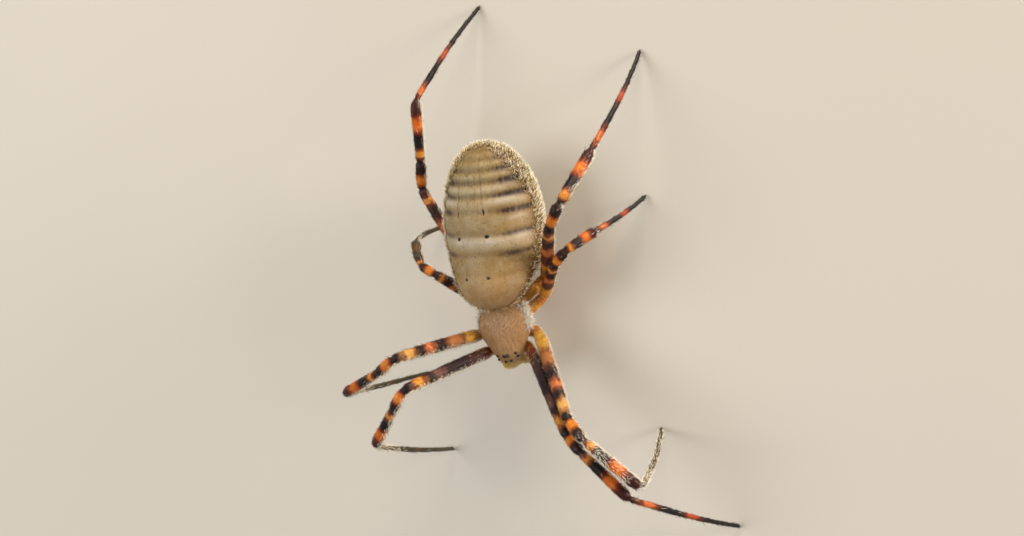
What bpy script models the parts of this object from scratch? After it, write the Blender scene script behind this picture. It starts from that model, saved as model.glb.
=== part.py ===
"""A life-size banded garden spider, an orb weaver: a full-grown female, standing still.

Every length below is in millimetres, and becomes metres where a mesh is written. The
spider is laid out round the middle of its carapace, with its head towards -Y, its left
side towards +X and its back up. The whole animal is then shifted, so that its feet stand
on z = 0 and its bounding box is centred over the origin.
"""

import math

import bmesh
import bpy
from mathutils import Matrix, Vector
from mathutils.bvhtree import BVHTree

# Metres in a millimetre.
MM = 0.001

# Height of the carapace's middle over the floor.
BODY_HEIGHT = 5.5
# Thin cut that parts neighbouring pieces of the body.
PART_GAP = 0.1

SIDES = {"left": 1, "right": -1}
SEGMENTS = ("coxa", "femur", "patella", "tibia", "foot")

# Where the coxae leave the sternum and where their trochanters end, on the left side.
COXA_ROOTS = {
    1: (0.95, -1.75, -1.0),
    2: (1.15, -0.45, -1.1),
    3: (1.15, 0.85, -1.2),
    4: (0.8, 2.1, -1.15),
}
TROCHANTER_ENDS = {
    1: (2.25, -2.2, -0.4),
    2: (3.1, -0.5, -0.55),
    3: (3.65, 2.6, -1.25),
    4: (3.8, 4.4, -1.85),
}
# Lengths of the femur, the patella, the tibia, and the metatarsus with its tarsus.
SEGMENT_LENGTHS = {
    1: (11.0, 2.5, 5.9, 13.2),
    2: (11.0, 3.0, 6.7, 12.6),
    3: (5.6, 2.0, 3.6, 6.7),
    4: (10.8, 2.7, 6.2, 12.7),
}
# The stance: heading and rise in degrees of each femur, patella and tibia, then the
# heading of the foot. A heading turns from the head towards the leg's own side.
STANCE = {
    ("left", 1): ((39, 29), (58, 26), (45, -4), 48),
    ("left", 2): ((36, 31), (54, 28), (50, -3), 225),
    ("left", 3): ((132, 37), (129, 10), (130, -50), 134),
    ("left", 4): ((130, 49), (140, 16), (162, -41), 170),
    ("right", 1): ((56, 68), (42, -12), (47, -18), 355),
    ("right", 2): ((71, 72), (62, -16), (70, -18), 252),
    ("right", 3): ((149, 51), (116, -4), (145, -32), 148),
    ("right", 4): ((155, 11), (197, 15), (192, 16), 199),
}
# Radius along each segment, as (share of its length, radius). The last share of the foot
# is its tarsus. The third pair is a little thinner than the others.
GIRTHS = {
    "coxa": ((0.0, 0.46), (0.4, 0.58), (0.8, 0.54), (1.0, 0.47)),
    "femur": ((0.0, 0.46), (0.1, 0.6), (0.4, 0.64), (0.75, 0.58), (0.93, 0.52), (1.0, 0.46)),
    "patella": ((0.0, 0.45), (0.35, 0.55), (0.8, 0.54), (1.0, 0.45)),
    "tibia": ((0.0, 0.45), (0.25, 0.5), (0.7, 0.56), (0.9, 0.57), (1.0, 0.4)),
    "foot": ((0.0, 0.36), (0.1, 0.37), (0.45, 0.32), (0.75, 0.28), (0.82, 0.26), (1.0, 0.25)),
}
PAIR_GIRTH = {1: 1.0, 2: 1.0, 3: 0.93, 4: 1.0}
# Thinnest radius that a leg keeps.
LEAST_RADIUS = 0.25
# Reach of the rounding on each side of a leg's joint, and steps round it.
JOINT_REACH = 0.9
JOINT_STEPS = 8
# The foot bends over a longer stretch, this share of the way down and this far outwards.
ANKLE_SHARE = 0.6
ANKLE_BOW = 0.45
ANKLE_REACH = 3.0
# Rings of a leg segment: near its ends, and then one for each such stretch between them.
END_RINGS = (0.0, 0.3, 0.65, 1.05)
RING_SPACING = 2.2
LEG_FACETS = 8
# How far a foot is modelled past the floor before it is cut flat on it.
FOOT_OVERRUN = 0.5

# Abdomen: half sizes and middle. A bluntness of 1 makes an elliptical end, and less a
# blunter one. Both ends are lifted, and the belly is tucked up towards the front.
ABDOMEN_HALF = Vector((5.2, 8.1, 4.1))
ABDOMEN_MIDDLE = Vector((0.0, 9.7, 0.6))
ABDOMEN_FRONT_BLUNTNESS = 0.85
ABDOMEN_REAR_BLUNTNESS = 0.88
ABDOMEN_FRONT_LIFT = 1.2
ABDOMEN_REAR_LIFT = 0.5
ABDOMEN_BELLY_TUCK = 0.75

# Carapace: half sizes, height of its rim, depth under the rim, and how much its width
# is drawn in at the head and its height falls towards the rear. It and the mouthparts
# are turned to the left by this many degrees, as the animal holds them.
CARAPACE_HALF = Vector((2.85, 3.45, 1.35))
CARAPACE_RIM = 0.25
CARAPACE_UNDER = 0.15
CARAPACE_BLUNTNESS = 0.72
HEAD_NARROWING = 0.27
HEAD_TURN = 7.0
REAR_FALL = 0.45

STERNUM_HALF = Vector((0.75, 2.0, 0.72))
STERNUM_MIDDLE = Vector((0.0, 0.05, -0.8))

# The eyes sit round this point of the head: heading, rise and radius of each pair.
HEAD_MIDDLE = Vector((0.0, -1.9, 0.5))
EYES = {
    "eye_anterior_median": (13, 17, 0.13),
    "eye_posterior_median": (14, 42, 0.15),
    "eye_anterior_lateral": (48, 12, 0.12),
    "eye_posterior_lateral": (58, 24, 0.12),
}
# Share of an eye's radius that is sunk in the head, and play round it in its socket.
EYE_SUNK = 0.35
EYE_PLAY = 0.03

# Small parts on the left side or the middle: points of (x, y, z, radius) down each.
CHELICERA = (
    (0.5, -2.75, -0.1, 0.38),
    (0.52, -3.1, -0.6, 0.44),
    (0.5, -3.35, -1.3, 0.42),
    (0.42, -3.35, -2.1, 0.26),
)
PALP = (
    (1.3, -3.0, -0.8, 0.25),
    (1.45, -3.3, -0.7, 0.27),
    (1.5, -3.6, -0.85, 0.28),
    (1.45, -3.72, -1.4, 0.27),
    (1.4, -3.7, -2.0, 0.3),
    (1.3, -3.65, -2.6, 0.25),
)
PEDICEL = (
    (0.0, 2.25, -0.3, 0.36),
    (0.0, 3.0, -0.4, 0.32),
    (0.0, 3.6, -0.45, 0.32),
    (0.0, 4.3, -0.5, 0.3),
)
SPINNERETS = (
    (0.0, 12.55, -3.38, 0.85),
    (0.0, 12.75, -3.9, 0.75),
    (0.0, 12.95, -4.3, 0.55),
    (0.0, 13.05, -4.6, 0.3),
)

# Base colour, linear, with roughness.
FINISHES = {
    "abdomen": ((0.62, 0.52, 0.33), 0.6),
    "carapace": ((0.33, 0.26, 0.19), 0.6),
    "coxa": ((0.6, 0.27, 0.04), 0.5),
    "femur": ((0.35, 0.13, 0.05), 0.5),
    "patella": ((0.6, 0.2, 0.03), 0.5),
    "tibia": ((0.5, 0.16, 0.03), 0.5),
    "foot": ((0.06, 0.03, 0.02), 0.5),
    "sternum": ((0.1, 0.07, 0.04), 0.6),
    "mouthparts": ((0.55, 0.42, 0.16), 0.5),
    "eyes": ((0.01, 0.008, 0.008), 0.1),
}


def new_collection(name):
    """A new collection in the scene."""
    collection = bpy.data.collections.new(name)
    bpy.context.scene.collection.children.link(collection)
    return collection


def new_material(name, colour, roughness):
    """A Principled BSDF material with this linear colour."""
    material = bpy.data.materials.new(name)
    material.use_nodes = True
    shader = material.node_tree.nodes["Principled BSDF"]
    shader.inputs["Base Color"].default_value = (*colour, 1.0)
    shader.inputs["Roughness"].default_value = roughness
    shader.inputs["Metallic"].default_value = 0.0
    return material


def new_object(name, bm, finish):
    """Turns a bmesh in millimetres into a smooth-shaded object in metres."""
    bmesh.ops.recalc_face_normals(bm, faces=bm.faces)
    bmesh.ops.scale(bm, vec=(MM, MM, MM), verts=bm.verts)
    mesh = bpy.data.meshes.new(name)
    bm.to_mesh(mesh)
    bm.free()
    mesh.shade_smooth()
    mesh.materials.append(materials[finish])
    piece = bpy.data.objects.new(name, mesh)
    spider.objects.link(piece)
    return piece


def mirrored(place, side):
    """A place given for the left side, on the named side."""
    return Vector((SIDES[side] * place[0], place[1], place[2]))


def turned(place, degrees):
    """A place turned about the upright axis through the carapace's middle."""
    return Matrix.Rotation(math.radians(degrees), 3, "Z") @ Vector(place)


def direction(side, heading, rise):
    """Unit vector from its heading and rise in degrees."""
    turn = math.radians(heading)
    tilt = math.radians(rise)
    level = math.cos(tilt)
    across = SIDES[side] * level * math.sin(turn)
    return Vector((across, -level * math.cos(turn), math.sin(tilt)))


def value_along(profile, share):
    """Reads a profile of (share, value) pairs, with straight runs between them."""
    for (start, low), (end, high) in zip(profile, profile[1:]):
        if share <= end:
            return low + (high - low) * (share - start) / (end - start)
    return profile[-1][1]


def add_tube(bm, stations, facets):
    """Adds a closed tube with a ring at each station of (place, direction, radius)."""
    turn = stations[0][1].to_track_quat("Z", "Y")
    last_edges = []
    for number, (place, along, radius) in enumerate(stations):
        turn = (turn @ Vector((0, 0, 1))).rotation_difference(along) @ turn
        pose = Matrix.Translation(place) @ turn.to_matrix().to_4x4()
        at_end = number in (0, len(stations) - 1)
        ring = bmesh.ops.create_circle(
            bm, cap_ends=at_end, segments=facets, radius=radius, matrix=pose
        )["verts"]
        edges = list({edge for vert in ring for edge in vert.link_edges})
        if last_edges:
            bmesh.ops.bridge_loops(bm, edges=last_edges + edges)
        last_edges = [edge for edge in edges if edge.is_valid]


def bent_tube(name, points, side, facets, finish, turn=0.0):
    """A tube bent smoothly through (x, y, z, radius) points, which are turned by turn."""
    places = [turned(mirrored(point[:3], side), turn) for point in points]
    stations = []
    for number, place in enumerate(places):
        before = places[max(number - 1, 0)]
        after = places[min(number + 1, len(places) - 1)]
        stations.append((place, (after - before).normalized(), points[number][3]))
    bm = bmesh.new()
    add_tube(bm, stations, facets)
    return new_object(name, bm, finish)


def rounded_ball(facets, rings, shape):
    """A ball with its poles on the Y axis, each point moved to shape(point)."""
    bm = bmesh.new()
    poles_on_y = Matrix.Rotation(math.radians(90), 4, "X")
    bmesh.ops.create_uvsphere(
        bm, u_segments=facets, v_segments=rings, radius=1.0, matrix=poles_on_y
    )
    for vert in bm.verts:
        vert.co = shape(vert.co)
    return bm


def bulge(along, bluntness):
    """How much wider a form with blunt ends is than an ellipse, at a share from -1 to 1."""
    ellipse = math.sqrt(max(1.0 - along * along, 1e-6))
    return ellipse ** (bluntness - 1.0)


def smooth_step(low, high, value):
    """Rises smoothly from 0 at low to 1 at high."""
    share = min(max((value - low) / (high - low), 0.0), 1.0)
    return share * share * (3.0 - 2.0 * share)


def abdomen_shape(unit):
    """The abdomen: an egg with blunt ends, its front lifted over the carapace."""
    along = unit.y
    bluntness = ABDOMEN_FRONT_BLUNTNESS if along < 0 else ABDOMEN_REAR_BLUNTNESS
    width = bulge(along, bluntness)
    height = ABDOMEN_HALF.z * width
    if unit.z < 0:
        height *= 1.0 - ABDOMEN_BELLY_TUCK * smooth_step(0.0, 0.95, -along)
    lift = ABDOMEN_FRONT_LIFT * smooth_step(0.3, 1.0, -along)
    lift += ABDOMEN_REAR_LIFT * smooth_step(0.3, 1.0, along)
    x = unit.x * ABDOMEN_HALF.x * width
    return ABDOMEN_MIDDLE + Vector((x, along * ABDOMEN_HALF.y, unit.z * height + lift))


def carapace_shape(unit):
    """The carapace: a low dome over a nearly flat underside, drawn in at the head."""
    along = unit.y
    width = bulge(along, CARAPACE_BLUNTNESS)
    x = unit.x * CARAPACE_HALF.x * width
    x *= 1.0 - HEAD_NARROWING * smooth_step(0.0, 0.75, -along)
    height = CARAPACE_HALF.z if unit.z > 0 else CARAPACE_UNDER
    height *= 1.0 - REAR_FALL * smooth_step(0.1, 0.9, along)
    z = CARAPACE_RIM + unit.z * height * width
    return turned((x, along * CARAPACE_HALF.y, z), HEAD_TURN)


def sternum_shape(unit):
    """The sternum and the body over it: a deep shield between the coxae."""
    width = 1.0 + 0.25 * unit.y * (unit.y < 0)
    x = unit.x * STERNUM_HALF.x * width
    return STERNUM_MIDDLE + Vector((x, unit.y * STERNUM_HALF.y, unit.z * STERNUM_HALF.z))


def leg_joints(side, pair):
    """Where a leg's segments meet, from the coxa's root to the tip of the foot."""
    joints = [mirrored(COXA_ROOTS[pair], side), mirrored(TROCHANTER_ENDS[pair], side)]
    *turns, foot_heading = STANCE[side, pair]
    *lengths, foot_length = SEGMENT_LENGTHS[pair]
    for length, (heading, rise) in zip(lengths, turns):
        joints.append(joints[-1] + direction(side, heading, rise) * length)
    drop = (joints[-1].z + BODY_HEIGHT) / foot_length
    rise = -math.degrees(math.asin(min(drop, 1.0)))
    tip = joints[-1] + direction(side, foot_heading, rise) * foot_length
    tip.z = -BODY_HEIGHT
    joints.append(tip)
    return joints


def ankle(knee, heel, tip):
    """The point where a foot bends, out on the side where the tibia points."""
    chord = (tip - heel).normalized()
    outwards = (heel - knee).normalized()
    outwards -= chord * outwards.dot(chord)
    return heel.lerp(tip, ANKLE_SHARE) + outwards.normalized() * ANKLE_BOW


def rounded_corner(before, corner, after, reach):
    """Points and directions round an arc that replaces the corner."""
    start = (corner - before).normalized()
    end = (after - corner).normalized()
    turn = start.angle(end)
    inwards = (end - start * math.cos(turn)).normalized()
    radius = reach / math.tan(turn / 2.0)
    arc = []
    for step in range(JOINT_STEPS + 1):
        angle = turn * step / JOINT_STEPS
        place = corner - start * reach
        place += start * radius * math.sin(angle)
        place += inwards * radius * (1.0 - math.cos(angle))
        along = start * math.cos(angle) + inwards * math.sin(angle)
        arc.append((place, along))
    return arc


def centreline(joints):
    """The leg's line as (place, direction, distance), and the distance of each joint."""
    line = [(joints[0], (joints[1] - joints[0]).normalized(), 0.0)]
    bend = ankle(*joints[-3:])
    corners = joints[:-1] + [bend, joints[-1]]
    marks = [0.0]
    for before, corner, after in zip(corners, corners[1:], corners[2:]):
        reach = ANKLE_REACH if corner is bend else JOINT_REACH
        arc = rounded_corner(before, corner, after, reach)
        for step, (place, along) in enumerate(arc):
            distance = line[-1][2] + (place - line[-1][0]).length
            line.append((place, along, distance))
            if step == JOINT_STEPS // 2 and corner is not bend:
                marks.append(distance)
    tip = joints[-1]
    length = line[-1][2] + (tip - line[-1][0]).length
    line.append((tip, line[-1][1], length))
    marks.append(length)
    beyond = length + FOOT_OVERRUN
    line.append((tip + line[-1][1] * FOOT_OVERRUN, line[-1][1], beyond))
    return line, marks


def line_at(line, distance):
    """Place and direction at a distance along a centreline."""
    for (start, heading, low), (end, turned, high) in zip(line, line[1:]):
        if distance <= high:
            share = (distance - low) / max(high - low, 1e-9)
            return start.lerp(end, share), heading.lerp(turned, share).normalized()
    return line[-1][0], line[-1][1]


def ring_distances(start, end):
    """Distances of a segment's rings: close together at its bent ends."""
    length = end - start
    near = [offset for offset in END_RINGS if offset < 0.42 * length]
    inner = length - 2.0 * near[-1]
    count = max(round(inner / RING_SPACING), 1)
    middle = [near[-1] + inner * step / count for step in range(1, count)]
    far = [length - offset for offset in reversed(near)]
    return [start + offset for offset in near + middle + far]


def cut_on_floor(bm):
    """Cuts a foot flat where it stands on the floor."""
    bmesh.ops.bisect_plane(
        bm,
        geom=[*bm.verts, *bm.edges, *bm.faces],
        plane_co=(0, 0, -BODY_HEIGHT),
        plane_no=(0, 0, -1),
        clear_outer=True,
    )
    rim = [edge for edge in bm.edges if edge.is_boundary]
    bmesh.ops.contextual_create(bm, geom=rim)


def build_leg(side, pair):
    """One leg: a tube for each of its segments, parted by thin cuts at the joints."""
    line, marks = centreline(leg_joints(side, pair))
    for segment, start, end in zip(SEGMENTS, marks, marks[1:]):
        is_foot = segment == "foot"
        first = start + PART_GAP / 2.0
        last = end + FOOT_OVERRUN if is_foot else end - PART_GAP / 2.0
        stations = []
        for distance in ring_distances(first, last):
            share = min((distance - first) / (end - first), 1.0)
            radius = value_along(GIRTHS[segment], share) * PAIR_GIRTH[pair]
            place, along = line_at(line, distance)
            stations.append((place, along, max(radius, LEAST_RADIUS)))
        bm = bmesh.new()
        add_tube(bm, stations, LEG_FACETS)
        if is_foot:
            cut_on_floor(bm)
        new_object(f"{side}_leg_{pair}_{segment}", bm, segment)


def build_eyes(carapace):
    """Eight bead eyes, each sunk in a socket cut into the carapace."""
    bm = bmesh.new()
    bm.from_mesh(carapace.data)
    tree = BVHTree.FromBMesh(bm)
    bm.free()
    for name, (heading, rise, radius) in EYES.items():
        for side in SIDES:
            along = turned(direction(side, heading, rise), HEAD_TURN)
            surface = tree.ray_cast(turned(HEAD_MIDDLE, HEAD_TURN) * MM, along)[0] / MM
            centre = surface + along * radius * (1.0 - 2.0 * EYE_SUNK)
            pose = Matrix.Translation(centre)
            bead = bmesh.new()
            bmesh.ops.create_icosphere(bead, subdivisions=2, radius=radius, matrix=pose)
            new_object(f"{side}_{name}", bead, "eyes")
            cut_socket(carapace, f"{side}_{name}_socket", centre, radius + EYE_PLAY)


def cut_socket(carapace, name, centre, radius):
    """Cuts a round socket into the carapace."""
    bm = bmesh.new()
    bmesh.ops.create_icosphere(
        bm, subdivisions=2, radius=radius, matrix=Matrix.Translation(centre)
    )
    cutter = new_object(name, bm, "eyes")
    spider.objects.unlink(cutter)
    cutters.objects.link(cutter)
    cutter.hide_render = True
    cutter.display_type = "WIRE"
    socket = carapace.modifiers.new(name, "BOOLEAN")
    socket.operation = "DIFFERENCE"
    socket.solver = "EXACT"
    socket.object = cutter


def build_body():
    """Abdomen, carapace with its eyes, sternum, mouthparts, pedicel and spinnerets."""
    new_object("abdomen", rounded_ball(26, 18, abdomen_shape), "abdomen")
    carapace = new_object("carapace", rounded_ball(22, 16, carapace_shape), "carapace")
    build_eyes(carapace)
    new_object("sternum", rounded_ball(14, 8, sternum_shape), "sternum")
    bent_tube("pedicel", PEDICEL, "left", 10, "sternum")
    bent_tube("spinnerets", SPINNERETS, "left", 12, "sternum")
    for side in SIDES:
        bent_tube(f"{side}_chelicera", CHELICERA, side, 10, "mouthparts", HEAD_TURN)
        bent_tube(f"{side}_palp", PALP, side, 8, "mouthparts", HEAD_TURN)


def stand_on_origin():
    """Sets the feet on z = 0 and the middle of the bounding box over the origin."""
    bpy.context.view_layer.update()
    corners = []
    for piece in spider.objects:
        corners += [vert.co for vert in piece.data.vertices]
    low = Vector([min(corner[axis] for corner in corners) for axis in range(3)])
    high = Vector([max(corner[axis] for corner in corners) for axis in range(3)])
    middle = (low + high) / 2.0
    stand = bpy.data.objects.new("stand_point", None)
    bpy.context.scene.collection.objects.link(stand)
    for piece in [*spider.objects, *cutters.objects]:
        piece.parent = stand
    stand.location = (-middle.x, -middle.y, -low.z)


for leftover in list(bpy.data.objects):
    bpy.data.objects.remove(leftover)
spider = new_collection("orb_weaver_spider")
cutters = new_collection("cutters")
materials = {name: new_material(name, *finish) for name, finish in FINISHES.items()}
build_body()
for leg_side, leg_pair in STANCE:
    build_leg(leg_side, leg_pair)
stand_on_origin()
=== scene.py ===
"""Looks of a life-size banded garden spider: skin, eyes, claws and coat over its solids.

Lengths are in millimetres in the animal's own frame, which is the solids' frame: the head
towards -Y, the left side towards +X. They become metres where a mesh is written.
"""

import math

import bmesh
import bpy
import numpy as np
from mathutils import Matrix, Vector


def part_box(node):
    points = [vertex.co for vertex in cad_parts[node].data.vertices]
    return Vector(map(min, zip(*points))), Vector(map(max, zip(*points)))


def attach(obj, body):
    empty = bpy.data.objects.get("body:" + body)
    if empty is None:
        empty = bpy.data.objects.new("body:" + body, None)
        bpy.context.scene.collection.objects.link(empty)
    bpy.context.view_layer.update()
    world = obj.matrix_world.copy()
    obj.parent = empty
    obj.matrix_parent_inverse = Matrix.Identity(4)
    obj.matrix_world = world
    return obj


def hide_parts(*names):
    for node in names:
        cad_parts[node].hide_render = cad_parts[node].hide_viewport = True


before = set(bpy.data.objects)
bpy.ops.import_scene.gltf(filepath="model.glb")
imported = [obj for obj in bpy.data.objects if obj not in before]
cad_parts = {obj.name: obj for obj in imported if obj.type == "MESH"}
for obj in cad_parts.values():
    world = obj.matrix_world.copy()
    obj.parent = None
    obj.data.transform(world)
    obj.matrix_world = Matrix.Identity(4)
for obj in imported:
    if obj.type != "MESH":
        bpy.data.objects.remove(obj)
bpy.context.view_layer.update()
MM = 0.001


# ---- Camera and studio -------------------------------------------------------------
# The camera looks down on the back from the animal's left, with the tail up in its view.
# A pale matt board runs out of view as the floor, and large soft boxes light the animal.


def middle_and_half(name):
    """Middle and half sizes of a solid's box, in millimetres."""
    low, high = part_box(name)
    return np.array((low + high) / 2) / MM, np.array((high - low) / 2) / MM


# Middle of the carapace in plan: the abdomen's middle is this far behind it.
ABDOMEN_BEHIND = 9.7
CARAPACE_BOX_MIDDLE, CARAPACE_BOX_HALF = middle_and_half("carapace")
ABDOMEN_MIDDLE, ABDOMEN_HALF = middle_and_half("abdomen")
CARAPACE_MIDDLE = ABDOMEN_MIDDLE - (0.0, ABDOMEN_BEHIND, 0.0)
CARAPACE_MIDDLE[2] = CARAPACE_BOX_MIDDLE[2]
CAMERA_AZIMUTH = 92.5
CAMERA_ELEVATION = 58.1
CAMERA_ROLL = 5.4
CAMERA_DISTANCE = 130.0
CAMERA_LENS = 48.0
CAMERA_AIM = CARAPACE_MIDDLE + (0.78, 5.55, -1.49)


def towards(azimuth, elevation):
    """Unit vector towards a viewer at an azimuth and elevation in degrees."""
    turn, rise = math.radians(azimuth), math.radians(elevation)
    level = math.cos(rise)
    return Vector((math.sin(turn) * level, -math.cos(turn) * level, math.sin(rise)))


back = towards(CAMERA_AZIMUTH, CAMERA_ELEVATION)
level_right = Vector((0, 1, 0)).cross(back).normalized()
turned = Matrix((level_right, back.cross(level_right), back)).transposed().to_4x4()
turned = turned @ Matrix.Rotation(-math.radians(CAMERA_ROLL), 4, "Z")
stand = Vector(CAMERA_AIM * MM) + back * CAMERA_DISTANCE * MM
camera = bpy.data.objects.new("camera", bpy.data.cameras.new("camera"))
bpy.context.scene.collection.objects.link(camera)
camera.matrix_world = Matrix.Translation(stand) @ turned
camera.data.lens = CAMERA_LENS
camera.data.clip_start = 0.001
bpy.context.scene.camera = camera


def linear(code):
    """Linear RGBA of an sRGB hex code."""
    parts = [int(code[at : at + 2], 16) / 255 for at in (1, 3, 5)]
    return (*[p / 12.92 if p <= 0.04045 else ((p + 0.055) / 1.055) ** 2.4 for p in parts], 1.0)


def add(tree, kind, inputs=(), stops=(), out=0, **settings):
    """Adds a node and gives its output: inputs are links, numbers or hex codes of colours."""
    made = tree.nodes.new("ShaderNode" + kind)
    for name, value in settings.items():
        setattr(made, name, value)
    for socket, value in dict(inputs).items():
        if isinstance(value, bpy.types.NodeSocket):
            tree.links.new(value, made.inputs[socket])
        else:
            made.inputs[socket].default_value = linear(value) if isinstance(value, str) else value
    for number, (position, code) in enumerate(stops):
        elements = made.color_ramp.elements
        element = elements[number] if number < 2 else elements.new(position)
        element.position = position
        element.color = linear(code)
    return made.outputs[out]


def finish_with(name, colours, relief=None, **values):
    """A material whose Principled shader has these values and the colours that colours(tree) gives.

    Relief is the spacing and depth in millimetres of fine knobs, and how strongly they show.
    """
    material = bpy.data.materials.new(name)
    material.use_nodes = True
    tree = material.node_tree
    shader = tree.nodes["Principled BSDF"]
    for socket, value in values.items():
        shader.inputs[socket.replace("_", " ")].default_value = value
    tree.links.new(colours(tree), shader.inputs["Base Color"])
    if relief:
        spacing, depth, strength = relief
        place = add(tree, "TexCoord", out="Object")
        knobs = add(tree, "TexNoise", {"Vector": place, "Scale": 1.0 / (spacing * MM), "Detail": 3.0})
        bump = {"Height": knobs, "Distance": depth * MM, "Strength": strength}
        tree.links.new(add(tree, "Bump", bump), shader.inputs["Normal"])
    return material


def mottled(each_millimetre, *stops, detail=2.0):
    """Colours in soft patches, this many to a millimetre."""

    def colours(tree):
        place = add(tree, "TexCoord", out="Object")
        size = {"Vector": place, "Scale": each_millimetre / MM, "Detail": detail}
        return add(tree, "ValToRGB", {"Fac": add(tree, "TexNoise", size)}, stops)

    return colours


# Matt painted board, nearly even in colour.
board = finish_with("matt_painted_board", mottled(0.012, (0.3, "#D5D0C6"), (0.7, "#DAD5CC")), Roughness=0.9)
bm = bmesh.new()
bmesh.ops.create_grid(bm, x_segments=2, y_segments=2, size=3.0)
floor_mesh = bpy.data.meshes.new("floor")
bm.to_mesh(floor_mesh)
bm.free()
floor_mesh.materials.append(board)
floor = bpy.data.objects.new("floor", floor_mesh)
bpy.context.scene.collection.objects.link(floor)

SOFT_BOXES = {
    # name: (azimuth, elevation, distance in metres, side in metres, power, colour)
    "key": (255, 54, 0.45, 0.3, 1.12, "#FDFAF6"),
    "rim": (158, 14, 0.4, 0.2, 1.6, "#FFEED6"),
    "edge": (100, 10, 0.4, 0.1, 1.2, "#FFF2E0"),
    "fill": (70, 35, 0.5, 0.4, 0.2, "#F1F4FF"),
}
for name, (azimuth, elevation, distance, side, power, colour) in SOFT_BOXES.items():
    box = bpy.data.lights.new(name, "AREA")
    box.size = side
    box.energy = power
    box.color = linear(colour)[:3]
    lamp = bpy.data.objects.new(name, box)
    bpy.context.scene.collection.objects.link(lamp)
    away = towards(azimuth, elevation)
    facing = away.to_track_quat("Z", "Y").to_matrix().to_4x4()
    lamp.matrix_world = Matrix.Translation(away * distance) @ facing
world = bpy.data.worlds.new("studio")
bpy.context.scene.world = world
world.use_nodes = True
world.node_tree.nodes["Background"].inputs["Color"].default_value = linear("#F4F1EA")
world.node_tree.nodes["Background"].inputs["Strength"].default_value = 0.3
bpy.context.scene.view_settings.view_transform = "Standard"


# ---- Lines of the limbs ------------------------------------------------------------
# Each limb is a jointed hollow tube of cuticle. Its line is read off the solids: slices
# square to the limb give its middle and its girth from the root to the tip.

SLICE = 0.1
# A slice needs this many corners, and a limb has at most this many slices.
LEAST_CORNERS = 6
MOST_SLICES = 600
# Height of a foot's line over the floor where its tip ends.
TIP_HEIGHT = 0.13
SIDES = {"left": 1, "right": -1}
SEGMENTS = ("coxa", "femur", "patella", "tibia", "foot")


def smoothed(values, reach):
    """Values along a line, averaged over a bell of this reach in steps, ends kept."""
    offsets = np.arange(-3 * reach, 3 * reach + 1)
    weights = np.exp(-0.5 * (offsets / reach) ** 2)
    weights /= weights.sum()
    pad = 3 * reach
    ahead = 2 * values[:1] - values[pad:0:-1]
    behind = 2 * values[-1:] - values[-2 : -pad - 2 : -1]
    longer = np.concatenate([ahead, values, behind])
    columns = [np.convolve(column, weights, "valid") for column in longer.reshape(len(longer), -1).T]
    return np.stack(columns, -1).reshape(values.shape)


class Line:
    """A line through places, with its distances and what lies along, beside and above it."""

    def __init__(self, places):
        self.places = places
        steps = np.linalg.norm(np.diff(places, axis=0), axis=1)
        self.distances = np.concatenate([[0.0], np.cumsum(steps)])
        self.along = np.gradient(places, self.distances, axis=0)
        self.along /= np.linalg.norm(self.along, axis=1)[:, None]
        side = np.cross(self.along, (0.0, 0.0, 1.0))
        self.side = side / np.linalg.norm(side, axis=1)[:, None]
        self.top = np.cross(self.side, self.along)

    def at(self, values, distances):
        """Values of the line at distances along it."""
        columns = values.reshape(len(values), -1).T
        columns = [np.interp(distances, self.distances, column) for column in columns]
        return np.stack(columns, -1).reshape(len(distances), *values.shape[1:])


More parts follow.
